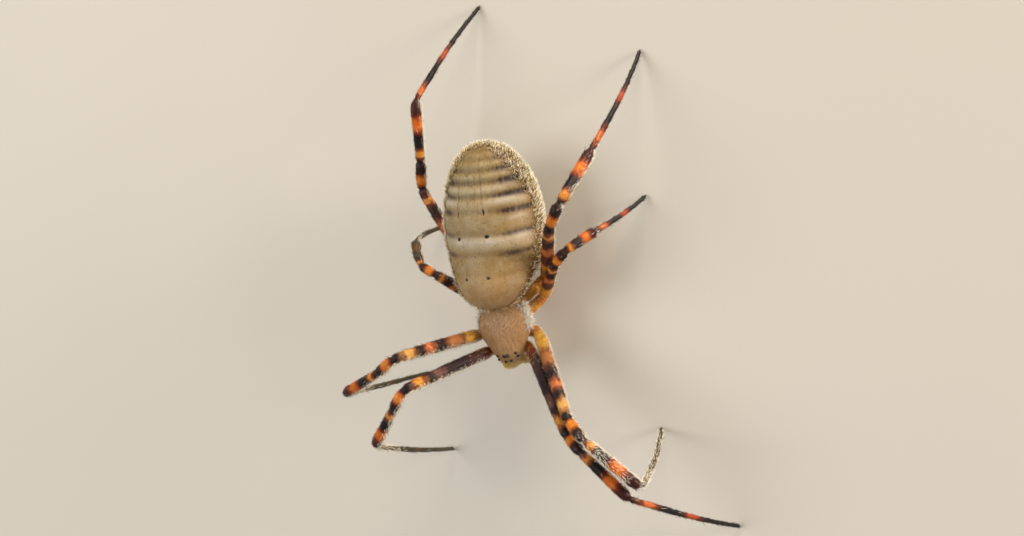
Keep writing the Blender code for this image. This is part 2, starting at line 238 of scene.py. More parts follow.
class Limb(Line):
    """A limb's line and girths, and which solid each place of it lies in."""

    def __init__(self, solids, start, reach=3):
        edges, owners = [], []
        for number, solid in enumerate(solids):
            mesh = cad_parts[solid].data
            corners = np.array([vert.co for vert in mesh.vertices]) / MM
            pairs = np.array([edge.vertices[:] for edge in mesh.edges])
            edges.append(corners[pairs])
            owners.append(np.full(len(pairs), number))
        self.follow(np.concatenate(edges), np.concatenate(owners), np.array(start))
        super().__init__(smoothed(self.places, reach))
        self.girths = smoothed(self.girths, reach)
        self.marks = [self.distances[np.argmax(self.solid >= n)] for n in range(len(solids))]
        self.marks.append(self.distances[-1])
        self.share = np.interp(self.distances, self.marks, np.arange(len(self.marks)))

    def follow(self, edges, owners, start):
        """Steps down the tube, slice by slice, and keeps each slice's middle, girth and solid."""
        first = edges[owners == 0].reshape(-1, 3)
        spread = np.linalg.svd(first - first.mean(0), full_matrices=False)[2][0]
        heading = spread * np.sign((first.mean(0) - start) @ spread)
        reach = ((first - first.mean(0)) @ heading).min()
        place = first.mean(0) + heading * (reach + 0.5 * SLICE)
        places, girths, solid = [], [], []
        girth = 0.4
        while True:
            depth = (edges - place) @ heading
            cut = depth[:, 0] * depth[:, 1] < 0
            part = depth[cut, 0] / (depth[cut, 0] - depth[cut, 1])
            points = edges[cut, 0] + (edges[cut, 1] - edges[cut, 0]) * part[:, None]
            near = np.linalg.norm(points - place, axis=1) < 1.5 * girth + SLICE
            if near.sum() >= LEAST_CORNERS:
                rim = points[near]
                middle = (rim.min(0) + rim.max(0)) / 2 * 0.3 + rim.mean(0) * 0.7
                girth = np.linalg.norm(rim - middle, axis=1).mean()
                owner = np.bincount(owners[cut][near]).argmax()
                if places:
                    turned = middle - places[-1]
                    turned /= np.linalg.norm(turned)
                    heading = heading * 0.6 + turned * 0.4
                    heading /= np.linalg.norm(heading)
                place = middle
            elif len(places) > 3 and np.abs(edges.reshape(-1, 3) - place).sum(1).min() > 1.0:
                break
            elif not places:
                owner = 0
            places.append(place)
            girths.append(girth)
            solid.append(owner)
            place = place + heading * SLICE
            ahead = (edges.reshape(-1, 3) - place) @ heading
            if owner == owners.max() and ahead.max() < 0.02 or len(places) > MOST_SLICES:
                break
        stands = np.array(places)[:, 2] < TIP_HEIGHT
        count = np.argmax(stands) if stands.any() else len(places)
        self.places = np.array(places)[:count]
        self.girths = np.array(girths)[:count]
        self.solid = np.array(solid)[:count]


STERNUM_MIDDLE, STERNUM_HALF = middle_and_half("sternum")
limbs = {}
for side in SIDES:
    for pair in (1, 2, 3, 4):
        name = f"{side}_leg_{pair}"
        limbs[name] = Limb([f"{name}_{segment}" for segment in SEGMENTS], STERNUM_MIDDLE)
LEGS = list(limbs)
for side in SIDES:
    for part, start in (("palp", STERNUM_MIDDLE), ("chelicera", CARAPACE_MIDDLE)):
        limbs[f"{side}_{part}"] = Limb([f"{side}_{part}"], start, 2)
limbs["pedicel"] = Limb(["pedicel"], CARAPACE_MIDDLE, 2)


# ---- Abdomen -----------------------------------------------------------------------
# A soft taut bag of thin hide over silvery guanine, hung on the waist behind the carapace,
# with shallow rolls across its back. It lies under its coat, and is drawn in by its depth.

ABDOMEN_COAT = 0.27
ABDOMEN_FRONT_BLUNTNESS = 0.85
ABDOMEN_REAR_BLUNTNESS = 0.88
ABDOMEN_FRONT_LIFT = 1.2
ABDOMEN_REAR_LIFT = 0.5
ABDOMEN_BELLY_TUCK = 0.75
# The depth of a dip in the hide is set against this radius of the back.
ABDOMEN_RADIUS = 4.5
# Furrows across the back: place along it from -1 at the front to 1 at the rear, width,
# depth, and how dark each is on the back and on the flank.
FURROWS = (
    (0.900, 0.27, 0.11, 0.50, 0.75),
    (0.790, 0.27, 0.15, 0.48, 0.8),
    (0.655, 0.31, 0.21, 0.62, 0.95),
    (0.510, 0.35, 0.21, 0.68, 1.0),
    (0.340, 0.29, 0.20, 0.58, 1.0),
    (0.155, 0.28, 0.10, 0.20, 1.0),
    (-0.115, 0.24, 0.09, 0.28, 0.95),
    (-0.350, 0.26, 0.08, 0.26, 0.9),
    (-0.590, 0.26, 0.04, 0.10, 0.35),
)
FURROW_BOW = 0.11
FURROW_SKEW = 0.0005
# A furrow's colour widens by this share on the flank, and the dip it lies in has this reach.
FURROW_WIDENING = 0.55
DIP_REACH = 0.34
# Painted highlights, pale reflections of the light painted on the back: place along, angle off
# the middle, half sizes in the same units, strength.
PAINTED_HIGHLIGHTS = (
    (-0.185, 0.0, 0.055, 80.0, 0.45),
    (-0.185, 20.0, 0.045, 11.0, 0.75),
    (-0.17, 58.0, 0.055, 16.0, 0.5),
    (0.28, 44.0, 0.04, 24.0, 0.6),
    (0.07, 56.0, 0.03, 14.0, 0.3),
    (0.44, 30.0, 0.03, 22.0, 0.3),
)
# Muscle scars on the back: place along, angle off the middle in degrees, half sizes across
# and along in millimetres.
SCARS = (
    (0.165, 18.0, 0.10, 0.30),
    (-0.125, 19.5, 0.25, 0.17),
    (-0.615, 18.5, 0.23, 0.12),
)
SCAR_DEPTH = 0.1
# The pattern of the back is rolled by this much to the right, in degrees, and a fine line
# runs to the rear this many degrees off the middle.
SCAR_ROLL = -2.5
SCAR_LINE = 17.0
# Ground colour of the back from the front, at -1, to the rear, at 1.
GROUND = (
    (-1.0, "#A68052"), (-0.85, "#A27C4E"), (-0.66, "#A28254"), (-0.5, "#927646"), (-0.36, "#927646"),
    (-0.24, "#A69068"), (-0.15, "#A48C64"), (-0.06, "#907648"), (0.06, "#927A50"), (0.18, "#927A50"),
    (0.27, "#9A865C"), (0.42, "#A08E66"), (0.58, "#948460"), (0.72, "#8C784C"), (0.85, "#866E46"),
    (1.0, "#745A3A"),
)
# Colours from below the flank to the middle of the belly, which has two cream stripes.
BELLY = (
    (0.0, "#A4804A"), (0.18, "#94703A"), (0.34, "#70502C"), (0.5, "#2B1D14"), (0.66, "#231711"),
    (0.71, "#C9B26A"), (0.79, "#C9B26A"), (0.84, "#1E1410"), (1.0, "#1E1410"),
)


def smooth_step(low, high, value):
    """Rises smoothly from 0 at low to 1 at high."""
    share = np.clip((value - low) / (high - low), 0.0, 1.0)
    return share * share * (3.0 - 2.0 * share)


def bulge(along, bluntness):
    """How much wider a form with blunt ends is than an ellipse."""
    return np.sqrt(np.maximum(1.0 - along * along, 1e-6)) ** (bluntness - 1.0)


def abdomen_frame(along, low):
    """Width factor, height and lift of the abdomen's section at a place along it."""
    width = bulge(along, np.where(along < 0, ABDOMEN_FRONT_BLUNTNESS, ABDOMEN_REAR_BLUNTNESS))
    tuck = np.where(low, 1.0 - ABDOMEN_BELLY_TUCK * smooth_step(0.0, 0.95, -along), 1.0)
    lift = ABDOMEN_FRONT_LIFT * smooth_step(0.3, 1.0, -along)
    return width, width * tuck, lift + ABDOMEN_REAR_LIFT * smooth_step(0.3, 1.0, along)


def furrow_bow(turn):
    """How far the lines across the back bend to the rear at an angle round it in degrees."""
    return FURROW_BOW * (1.0 - np.cos(np.radians(np.minimum(np.abs(turn), 90.0)))) - FURROW_SKEW * turn


def furrows(along, turn):
    """Darkness of the furrows, dark lines with painted shade of the rolls between them, and depth of their
    dips at places on the abdomen.
    """
    bow, turn = furrow_bow(turn), np.abs(turn)
    flank = smooth_step(18.0, 44.0, turn)
    fade, end = 1.0 - smooth_step(78.0, 112.0, turn), 1.0 - smooth_step(70.0, 115.0, turn)
    shade, depth = np.zeros_like(along), np.zeros_like(along)
    for place, width, deep, dark, darker in FURROWS:
        away = (along - place - bow) * ABDOMEN_HALF[1]
        drawn = away / (width * (1.0 + FURROW_WIDENING * flank * darker))
        shade = np.maximum(shade, np.exp(-drawn * drawn) * (dark + (darker - dark) * flank) * fade)
        dip = away / DIP_REACH
        depth = np.maximum(depth, np.exp(-dip * dip) * deep * end)
    return shade, depth


def scars(along, turn):
    """How much of a scar each place on the abdomen belongs to, from 0 to 1."""
    rolled = np.abs(turn - SCAR_ROLL)
    scar = np.zeros_like(along)
    for place, off, across, long in SCARS:
        a = (along - place) * ABDOMEN_HALF[1] / long
        b = np.radians(rolled - off) * ABDOMEN_HALF[0] / across
        scar = np.maximum(scar, np.exp(-((a * a + b * b) ** 1.5)))
    return scar


def painted_highlights(along, turn):
    """How much painted highlight each place on the abdomen has, from 0 to 1."""
    bow, turn = furrow_bow(turn), np.abs(turn)
    painted_highlight = np.zeros_like(along)
    for place, off, across, wide, strength in PAINTED_HIGHLIGHTS:
        a = (along - place - bow) / across
        b = (turn - off) / wide
        painted_highlight = np.maximum(painted_highlight, strength * np.exp(-(a * a + b * b)))
    return painted_highlight


def abdomen_shape(ball):
    """Where the points of a unit ball go on the skin of the abdomen."""
    along = ball[:, 1]
    width, height, lift = abdomen_frame(along, ball[:, 2] < 0)
    half = ABDOMEN_HALF - ABDOMEN_COAT
    turn = np.degrees(np.arctan2(ball[:, 0], ball[:, 2]))
    inwards = 1.0 - (furrows(along, turn)[1] + SCAR_DEPTH * scars(along, turn)) / ABDOMEN_RADIUS
    x = ball[:, 0] * half[0] * width * inwards
    z = ball[:, 2] * half[2] * height * inwards + lift
    return ABDOMEN_MIDDLE + np.stack([x, along * half[1], z], -1)


def abdomen_place(points):
    """Place along the abdomen and angle round it in degrees, of points on its skin."""
    along = (points[:, 1] - ABDOMEN_MIDDLE[1]) / (ABDOMEN_HALF[1] - ABDOMEN_COAT)
    along = np.clip(along, -0.999, 0.999)
    width, height, lift = abdomen_frame(along, points[:, 2] - ABDOMEN_MIDDLE[2] < 0)
    x = (points[:, 0] - ABDOMEN_MIDDLE[0]) / (ABDOMEN_HALF[0] * width)
    z = (points[:, 2] - ABDOMEN_MIDDLE[2] - lift) / (ABDOMEN_HALF[2] * height)
    return along, np.degrees(np.arctan2(x, z))


# What a Mix node needs to mix colours: its inputs are then 0, the share, 6 and 7.
COLOURS = {"out": 2, "data_type": "RGBA"}


def abdomen_markings(tree):
    """Cream ground, dark furrows, scars and streaks of the abdomen, with painted shade and highlights.
    Returns a colour.
    """
    names = ("along", "turn", "rolled", "furrow", "painted_highlight", "streak", "standing")
    read = {name: add(tree, "Attribute", out="Fac", attribute_name=name) for name in names}
    place = add(tree, "TexCoord", out="Object")
    share = add(tree, "MapRange", {"Value": read["along"], "From Min": -1.0, "From Max": 1.0})
    colour = add(tree, "ValToRGB", {"Fac": share}, [((at + 1.0) / 2.0, code) for at, code in GROUND])
    # Painted shade: the ground is darkened to brown down the flanks, which face away from the light.
    flank = {"Value": read["turn"], "From Min": 36.0, "From Max": 84.0, "To Max": 0.55}
    colour = add(tree, "Mix", {0: add(tree, "MapRange", flank), 6: colour, 7: "#6E4E2C"}, **COLOURS)
    # Silvery guanine shows through the hide in soft clouds about a millimetre across.
    clouds = {"Vector": place, "Scale": 0.9 / MM, "Detail": 4.0, "Roughness": 0.6}
    cloud = {"Value": add(tree, "TexNoise", clouds), "From Min": 0.42, "From Max": 0.72, "To Max": 0.3}
    colour = add(tree, "Mix", {0: add(tree, "MapRange", cloud), 6: colour, 7: "#BFB296"}, **COLOURS)
    # Fine lengthwise streaks, a fifth of a millimetre apart and ten times as long.
    grain = add(tree, "Mapping", {"Vector": place, "Scale": (5.0 / MM, 0.55 / MM, 5.0 / MM)})
    lines = add(tree, "TexNoise", {"Vector": grain, "Scale": 1.0, "Detail": 2.0})
    line = add(tree, "MapRange", {"Value": lines, "From Min": 0.52, "From Max": 0.7})
    line = add(tree, "Math", {0: line, 1: read["streak"]}, operation="MULTIPLY")
    colour = add(tree, "Mix", {0: line, 6: colour, 7: "#5C4522"}, **COLOURS)
    # Painted shade: the hide under the standing bristles is darkened to golden brown, as it lies in their
    # shade.
    shaded = add(tree, "Math", {0: read["standing"], 1: 0.75}, operation="MULTIPLY")
    colour = add(tree, "Mix", {0: shaded, 6: colour, 7: "#5E3E1A"}, **COLOURS)
    # Furrows are dark lines, olive brown on the back and near black on the flanks, with ragged edges; their
    # width and darkness are partly painted shade in the creases between the rolls.
    ragged = {"Value": add(tree, "TexNoise", {"Vector": grain, "Scale": 0.8, "Detail": 2.0})}
    ragged |= {"From Min": 0.3, "From Max": 0.6, "To Min": 0.8, "To Max": 1.1}
    dark = {0: read["furrow"], 1: add(tree, "MapRange", ragged)}
    dark = add(tree, "Math", dark, operation="MULTIPLY", use_clamp=True)
    stops = [(0.0, "#7E6430"), (0.55, "#664C1E"), (0.82, "#44281A"), (1.0, "#2C1814")]
    ink = add(tree, "ValToRGB", {"Fac": dark}, stops)
    colour = add(tree, "Mix", {0: dark, 6: colour, 7: ink}, **COLOURS)
    # Painted highlight: pale reflections of the light are painted over parts of the back.
    colour = add(tree, "Mix", {0: read["painted_highlight"], 6: colour, 7: "#C9BFB0"}, **COLOURS)
    # A fine dark line runs to the rear above each rear scar, and the scars are near black.
    mark = add(tree, "Math", {0: read["rolled"], 1: SCAR_LINE, 2: 1.1}, operation="COMPARE")
    rise = {"Value": read["along"], "From Min": 0.12, "From Max": 0.3, "To Max": 0.26}
    fall = {"Value": read["along"], "From Min": 0.9, "From Max": 0.7}
    for fading in (rise, fall):
        mark = add(tree, "Math", {0: mark, 1: add(tree, "MapRange", fading)}, operation="MULTIPLY")
    spot = add(tree, "CombineXYZ", {"X": read["along"], "Y": read["rolled"]})
    for centre, off, across, long in SCARS:
        size = (ABDOMEN_HALF[1] / long, math.radians(ABDOMEN_HALF[0]) / across, 0.0)
        away = add(tree, "VectorMath", {0: spot, 1: (centre, off, 0.0)}, operation="SUBTRACT")
        away = add(tree, "VectorMath", {0: away, 1: size}, operation="MULTIPLY")
        away = add(tree, "VectorMath", {0: away}, out="Value", operation="LENGTH")
        pit = add(tree, "MapRange", {"Value": away, "From Min": 1.25, "From Max": 0.85})
        mark = add(tree, "Math", {0: mark, 1: pit}, operation="MAXIMUM")
    colour = add(tree, "Mix", {0: mark, 6: colour, 7: "#1A0F0B"}, **COLOURS)
    # Below the flank the hide is brown and flecked, then near black with two cream stripes.
    flecks = add(tree, "TexNoise", {"Vector": place, "Scale": 1.6 / MM, "Detail": 3.0})
    turn = add(tree, "Math", {0: flecks, 1: 26.0, 2: read["turn"]}, operation="MULTIPLY_ADD")
    below = add(tree, "MapRange", {"Value": turn, "From Min": 60.0, "From Max": 190.0})
    below = add(tree, "ValToRGB", {"Fac": below}, BELLY)
    lower = add(tree, "MapRange", {"Value": turn, "From Min": 92.0, "From Max": 116.0})
    return add(tree, "Mix", {0: lower, 6: colour, 7: below}, **COLOURS)


def as_piece(name, bm, materials=()):
    """A smooth-shaded object in the scene from a bmesh in metres."""
    bmesh.ops.recalc_face_normals(bm, faces=bm.faces)
    mesh = bpy.data.meshes.new(name)
    bm.to_mesh(mesh)
    bm.free()
    mesh.shade_smooth()
    for material in materials:
        mesh.materials.append(material)
    piece = bpy.data.objects.new(name, mesh)
    bpy.context.scene.collection.objects.link(piece)
    return piece


def ball(name, facets, rings, shape, materials=()):
    """A ball with its poles on the Y axis, each point moved to where shape puts it.

    It is a grid rolled up, whose points come in the same order in each run, because the roots
    of the coat follow that order.
    """
    bm = bmesh.new()
    bmesh.ops.create_grid(bm, x_segments=facets, y_segments=rings, size=1.0)
    flat = np.array([vert.co for vert in bm.verts])
    turn, tilt = (flat[:, 0] + 1.0) * math.pi, (flat[:, 1] + 1.0) / 2.0 * math.pi
    level = np.sin(tilt)
    places = shape(np.stack([level * np.sin(turn), -np.cos(tilt), level * np.cos(turn)], -1))
    for vert, place in zip(bm.verts, places * MM):
        vert.co = place
    bmesh.ops.remove_doubles(bm, verts=bm.verts, dist=1e-6)
    return as_piece(name, bm, materials)


# Soft abdominal cuticle: a thin satin hide over silvery guanine, finely wrinkled.
abdomen_cuticle = finish_with(
    "satin_abdomen_cuticle", abdomen_markings, (0.22, 0.05, 0.6),
    Roughness=0.5, IOR=1.5, Specular_IOR_Level=0.4,
)
# The parts of the one skin, each with its own finish.
skin_parts = [(ball("abdomen_skin", 190, 170, abdomen_shape), abdomen_cuticle)]


# ---- Carapace ----------------------------------------------------------------------
# A hard domed shield over head and chest, with a pit in its middle and the eyes in low
# rings on its front. Soft wall, the pleura, joins its edge to the bases of the legs.

CARAPACE_HALF = np.array((2.85, 3.45, CARAPACE_BOX_HALF[2]))
CARAPACE_COAT = 0.05
CARAPACE_UNDER = 0.15
CARAPACE_BLUNTNESS = 0.72
HEAD_NARROWING = 0.27
HEAD_TURN = math.radians(7.0)
REAR_FALL = 0.45
PIT_DEPTH = 0.05
HEAD_FURROW_DEPTH = 0.016
RAY_DEPTH = 0.004
RAYS = 9.0
# Each eye sits in a low ring this high, centred this many of the eye's radii from its
# middle and this many wide.
SOCKET_HEIGHT = 0.05
SOCKET_RING = 1.3
SOCKET_WIDTH = 0.3
# The pleura is the carapace's plan drawn in by this, from this height over its rim down to
# this depth under it.
PLEURA_SHARE = 0.74
PLEURA_TOP = 0.3
PLEURA_DEPTH = 1.25
EYE_PLACES = {name: middle_and_half(name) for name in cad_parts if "_eye_" in name}


def eye_sockets(place):
    """How much of an eye's low ring each point of the head belongs to, from 0 to 1."""
    ring = np.zeros(len(place))
    for middle, half in EYE_PLACES.values():
        away = np.linalg.norm(place - middle, axis=1) / half.max()
        ring = np.maximum(ring, np.exp(-(((away - SOCKET_RING) / SOCKET_WIDTH) ** 2)))
    return ring


def carapace_relief(place):
    """How far the carapace dips: a pit in its middle, two head furrows and faint rays."""
    x, y = place[:, 0], place[:, 1]
    pit = PIT_DEPTH * np.exp(-((x / 0.22) ** 2) - ((y - 1.0) / 0.45) ** 2)
    furrow = np.abs(np.abs(x) - 0.35 - 0.55 * (0.6 - y)) / 0.16
    furrow = HEAD_FURROW_DEPTH * np.exp(-furrow * furrow)
    furrow = furrow * smooth_step(0.9, 0.2, y) * smooth_step(-2.4, -1.2, y)
    turn = np.arctan2(x, y - 0.9)
    rays = RAY_DEPTH * np.cos(turn * RAYS) * smooth_step(0.4, 1.1, np.hypot(x, y - 0.9))
    return pit + furrow + rays * smooth_step(-1.8, -0.6, y)


def carapace_shape(ball, scale=1.0, top=None, under=CARAPACE_UNDER):
    """Where the points of a unit ball go on the skin of the carapace."""
    along = ball[:, 1]
    width = bulge(along, CARAPACE_BLUNTNESS)
    rim = CARAPACE_MIDDLE[2] - CARAPACE_HALF[2] + CARAPACE_UNDER
    half = (CARAPACE_HALF - CARAPACE_COAT) * scale
    x = ball[:, 0] * half[0] * width * (1.0 - HEAD_NARROWING * smooth_step(0.0, 0.75, -along))
    dome = 2.0 * CARAPACE_HALF[2] - CARAPACE_UNDER - CARAPACE_COAT if top is None else top
    height = np.where(ball[:, 2] > 0, dome, under)
    height = height * (1.0 - REAR_FALL * smooth_step(0.1, 0.9, along))
    place = np.stack([x, along * half[1], ball[:, 2] * height * width], -1)
    if top is None:
        place[:, 2] -= carapace_relief(place) * smooth_step(0.1, 0.5, ball[:, 2])
    place = place @ np.array(Matrix.Rotation(-HEAD_TURN, 3, "Z"))
    place = place + (CARAPACE_MIDDLE[0], CARAPACE_MIDDLE[1], rim)
    if top is None:
        place += eye_sockets(place)[:, None] * ball * SOCKET_HEIGHT
    return place


def pleura_shape(ball):
    """Where the points of a unit ball go on the soft wall under the carapace."""
    return carapace_shape(ball, PLEURA_SHARE, PLEURA_TOP, PLEURA_DEPTH)


def carapace_colours(tree):
    """Tan in fine lengthwise grain and soft patches, dark in the rings round the eyes."""
    place = add(tree, "TexCoord", out="Object")
    centred = add(tree, "Mapping", {"Vector": place, "Location": tuple(-CARAPACE_MIDDLE * MM)})
    grain = add(tree, "Mapping", {"Vector": centred, "Scale": (5.5 / MM, 0.9 / MM, 3.0 / MM)})
    grain = add(tree, "TexNoise", {"Vector": grain, "Scale": 1.0, "Detail": 3.0})
    colour = add(tree, "ValToRGB", {"Fac": grain}, [(0.3, "#AE8658"), (0.5, "#B48A5C"), (0.7, "#BE966A")])
    patch = add(tree, "TexNoise", {"Vector": centred, "Scale": 0.7 / MM, "Detail": 3.0})
    patch = add(tree, "MapRange", {"Value": patch, "From Min": 0.4, "From Max": 0.7, "To Max": 0.4})
    colour = add(tree, "Mix", {0: patch, 6: colour, 7: "#A87C50"}, **COLOURS)
    socket = add(tree, "Attribute", out="Fac", attribute_name="socket")
    socket = add(tree, "Math", {0: socket, 1: 0.8}, operation="MULTIPLY")
    return add(tree, "Mix", {0: socket, 6: colour, 7: "#3A2617"}, **COLOURS)


# Carapace cuticle: hard tan chitin, satin under its lying down.
carapace_cuticle = finish_with(
    "silvery_carapace_cuticle", carapace_colours, (0.12, 0.02, 0.12), Roughness=0.48, IOR=1.54
)
skin_parts.append((ball("carapace_skin", 112, 120, carapace_shape), carapace_cuticle))
skin_parts.append((ball("pleura", 48, 40, pleura_shape), carapace_cuticle))


# ---- Sternum -----------------------------------------------------------------------
# The hard shield under the chest, wider in front, between the bases of the legs. It is
# near black with a cream stripe down its middle.

STERNUM_WIDENING = 0.25
STRIPE_HALF = 0.2
STRIPE_EDGE = 0.28


def sternum_shape(ball):
    """Where the points of a unit ball go on the skin of the sternum."""
    width = 1.0 + STERNUM_WIDENING * ball[:, 1] * (ball[:, 1] < 0)
    half = STERNUM_HALF * (1.0, 1.0, 0.96)
    return STERNUM_MIDDLE + ball * half * np.stack([width, width * 0 + 1, width * 0 + 1], -1)


def sternum_colours(tree):
    """Near black, with a cream stripe as long as the sternum."""
    place = add(tree, "TexCoord", out="Object")
    centred = add(tree, "Mapping", {"Vector": place, "Location": tuple(-STERNUM_MIDDLE * MM)})
    end = STERNUM_HALF[1] * MM
    edges = {"X": (STRIPE_EDGE * MM, STRIPE_HALF * MM), "Y": (end, 0.9 * end)}
    shares = []
    for axis, (outer, inner) in edges.items():
        off = add(tree, "SeparateXYZ", {"Vector": centred}, out=axis)
        off = add(tree, "Math", {0: off}, operation="ABSOLUTE")
        shares.append(add(tree, "MapRange", {"Value": off, "From Min": outer, "From Max": inner}))
    stripe = add(tree, "Math", {0: shares[0], 1: shares[1]}, operation="MULTIPLY")
    return add(tree, "Mix", {0: stripe, 6: "#2A1C15", 7: "#C8AE62"}, **COLOURS)


# Underside cuticle: near black chitin, satin.
under_cuticle = finish_with(
    "dark_sternum_cuticle", sternum_colours, (0.15, 0.03, 0.5), Roughness=0.45, IOR=1.54
)
skin_parts.append((ball("sternum_skin", 48, 40, sternum_shape), under_cuticle))


# ---- Legs --------------------------------------------------------------------------
# Hollow tubes of hard cuticle ringed in orange and black, with a narrow waist of soft
# membrane at each joint and a slight swelling before it. The last two segments are thinner.

LEG_COAT = 0.05
WAIST = 0.09
WAIST_REACH = 0.16
SWELLING = 0.035
SWELLING_REACH = 0.3
SWELLING_BEFORE = 0.45
FOOT_THINNING = 0.16
# The foot's own joint: its place as a share of the foot, and its waist.
FOOT_JOINT = 0.72
FOOT_WAIST = 0.03
FOOT_WAIST_REACH = 0.1
# Leg rings: where each ends, in segments from the coxa's root, its colour, and for a bright
# ring the rust that it turns to at its edges.
COXA_BANDS = [(0.75, "#F0B048"), (1.0, "#D8842E")]
FEMUR_BANDS = {
    "first": [
        (1.1, "#7A3A2A"), (1.3, "#4A2E2A"), (1.57, "#2A181C"), (1.68, "#6E4840"), (1.77, "#1D1012"),
        (1.92, "#CE8E34", "#9E5A20"), (2.03, "#1D1012"),
    ],
    "second": [
        (1.22, "#CE9A3A"), (1.44, "#AA6C3A", "#84502E"), (1.57, "#231619"), (1.69, "#C87440", "#98502E"),
        (1.78, "#1F1214"), (1.93, "#D0A054", "#A87038"), (2.04, "#1D1012"),
    ],
    "rear": [
        (1.33, "#E09A30"), (1.48, "#5A2A1A"), (1.7, "#C06A34", "#72301A"), (1.81, "#28120C"),
        (1.93, "#D48E40", "#8A4624"), (2.04, "#1D1012"),
    ],
}
OUTER_BANDS = [
    (2.07, "#28120C"), (2.56, "#DE8626", "#8E3C14"), (3.05, "#2E140C"), (3.22, "#D8903A", "#8E481E"),
    (3.46, "#150B08"), (3.78, "#DC741A", "#842E12"), (4.04, "#40180E"), (4.22, "#CC6E36", "#82321A"),
    (4.43, "#140D0B"), (4.62, "#A8461E", "#562018"), (5.0, "#1C1612"),
]
# A ring's colour blends into the next over this share of a segment on each side, its rust
# takes this share of its length at each end, and its edge wanders by this much in all.
BAND_EDGE = 0.03
RUST_SHARE = 0.32
BAND_WANDER = 0.12


def tube(name, limb, facets, spacing, girth, before=0.0, beyond=0.0):
    """A closed round tube along a limb's line, reaching before and beyond its ends."""
    length = limb.distances[-1]
    rings = int((length + before + beyond) / spacing)
    bm = bmesh.new()
    bmesh.ops.create_grid(bm, x_segments=facets, y_segments=rings, size=1.0)
    flat = np.array([vert.co for vert in bm.verts])
    turn = (flat[:, 0] + 1.0) * math.pi
    distance = (flat[:, 1] + 1.0) / 2.0 * (length + before + beyond) - before
    inside = np.clip(distance, 0.0, length)
    centre = limb.at(limb.places, inside) + limb.at(limb.along, inside) * (distance - inside)[:, None]
    spoke = limb.at(limb.top, inside) * np.cos(turn)[:, None]
    spoke = spoke + limb.at(limb.side, inside) * np.sin(turn)[:, None]
    for vert, place in zip(bm.verts, (centre + spoke * girth(distance)[:, None]) * MM):
        vert.co = place
    bmesh.ops.remove_doubles(bm, verts=bm.verts, dist=1e-6)
    bmesh.ops.holes_fill(bm, edges=[edge for edge in bm.edges if edge.is_boundary], sides=0)
    return as_piece(name, bm)


def bare_girth(limb, coat, distance):
    """The radius of a limb's solid at distances along it, less its coat."""
    return limb.at(limb.girths, np.clip(distance, 0, limb.distances[-1])) - coat


def rounded_off(limb, reach, least, distance):
    """The share of its radius that a limb keeps as its end rounds off, down to the least."""
    left = np.clip((limb.distances[-1] - distance) / reach, 0.0, 1.0)
    return least + (1.0 - least) * np.sqrt(1.0 - (1.0 - left) ** 2)


def leg_girth(limb):
    """The radius of a leg's skin along it, as a function of the distance."""
    foot, end = limb.marks[4:6]

    def girth(distance):
        radius = bare_girth(limb, LEG_COAT, distance)
        for mark in limb.marks[1:-1]:
            radius -= WAIST * np.exp(-(((distance - mark) / WAIST_REACH) ** 2))
            radius += SWELLING * np.exp(-(((distance - mark + SWELLING_BEFORE) / SWELLING_REACH) ** 2))
        joint = (distance - foot - FOOT_JOINT * (end - foot)) / FOOT_WAIST_REACH
        radius -= FOOT_WAIST * np.exp(-(joint**2))
        radius = radius * (1.0 - FOOT_THINNING * smooth_step(foot - 0.3, foot + 0.6, distance))
        return radius * rounded_off(limb, 0.25, 0.25, distance)

    return girth


def bands(marks, low, high):
    """Ramp stops for rings that follow each other from low to high."""
    stops, start = [], low
    for end, code, *rust in marks:
        near, far = start + BAND_EDGE, end - BAND_EDGE
        places = [(near, code), (far, code)]
        if rust:
            wide = RUST_SHARE * (end - start)
            places = [(near, rust[0]), (start + wide, code), (end - wide, code), (far, rust[0])]
        for place, colour in places:
            stops.append((min(max((place - low) / (high - low), 0.0), 1.0), colour))
        start = end
    return stops


def leg_markings(tree):
    """The rings of the legs, read from each place's share of its leg. Returns a colour."""
    names = ("leg_share", "leg_pair", "dusky")
    share, pair, dusky = [add(tree, "Attribute", out="Fac", attribute_name=name) for name in names]
    place = add(tree, "TexCoord", out="Object")
    # The edge of a ring wanders every half millimetre.
    wander = add(tree, "TexNoise", {"Vector": place, "Scale": 2.0 / MM, "Detail": 3.0})
    moved = add(tree, "Math", {0: wander, 1: BAND_WANDER, 2: share}, operation="MULTIPLY_ADD")
    moved = add(tree, "Math", {0: moved, 1: BAND_WANDER / 2}, operation="SUBTRACT")
    inner = add(tree, "MapRange", {"Value": moved, "From Min": 0.0, "From Max": 2.0})
    ramps = {}
    for name, femur in FEMUR_BANDS.items():
        ramps[name] = add(tree, "ValToRGB", {"Fac": inner}, bands(COXA_BANDS + femur, 0.0, 2.0))
    outer = add(tree, "MapRange", {"Value": moved, "From Min": 2.0, "From Max": 5.0})
    outer = add(tree, "ValToRGB", {"Fac": outer}, bands(OUTER_BANDS, 2.0, 5.0))
    is_first = add(tree, "Math", {0: pair, 1: 1.5}, operation="LESS_THAN")
    is_rear = add(tree, "Math", {0: pair, 1: 2.5}, operation="GREATER_THAN")
    is_outer = add(tree, "Math", {0: moved, 1: 2.0}, operation="GREATER_THAN")
    colour = add(tree, "Mix", {0: is_first, 6: ramps["second"], 7: ramps["first"]}, **COLOURS)
    colour = add(tree, "Mix", {0: is_rear, 6: colour, 7: ramps["rear"]}, **COLOURS)
    colour = add(tree, "Mix", {0: is_outer, 6: colour, 7: outer}, **COLOURS)
    return add(tree, "Mix", {0: dusky, 6: colour, 7: "#4C4430"}, **COLOURS)


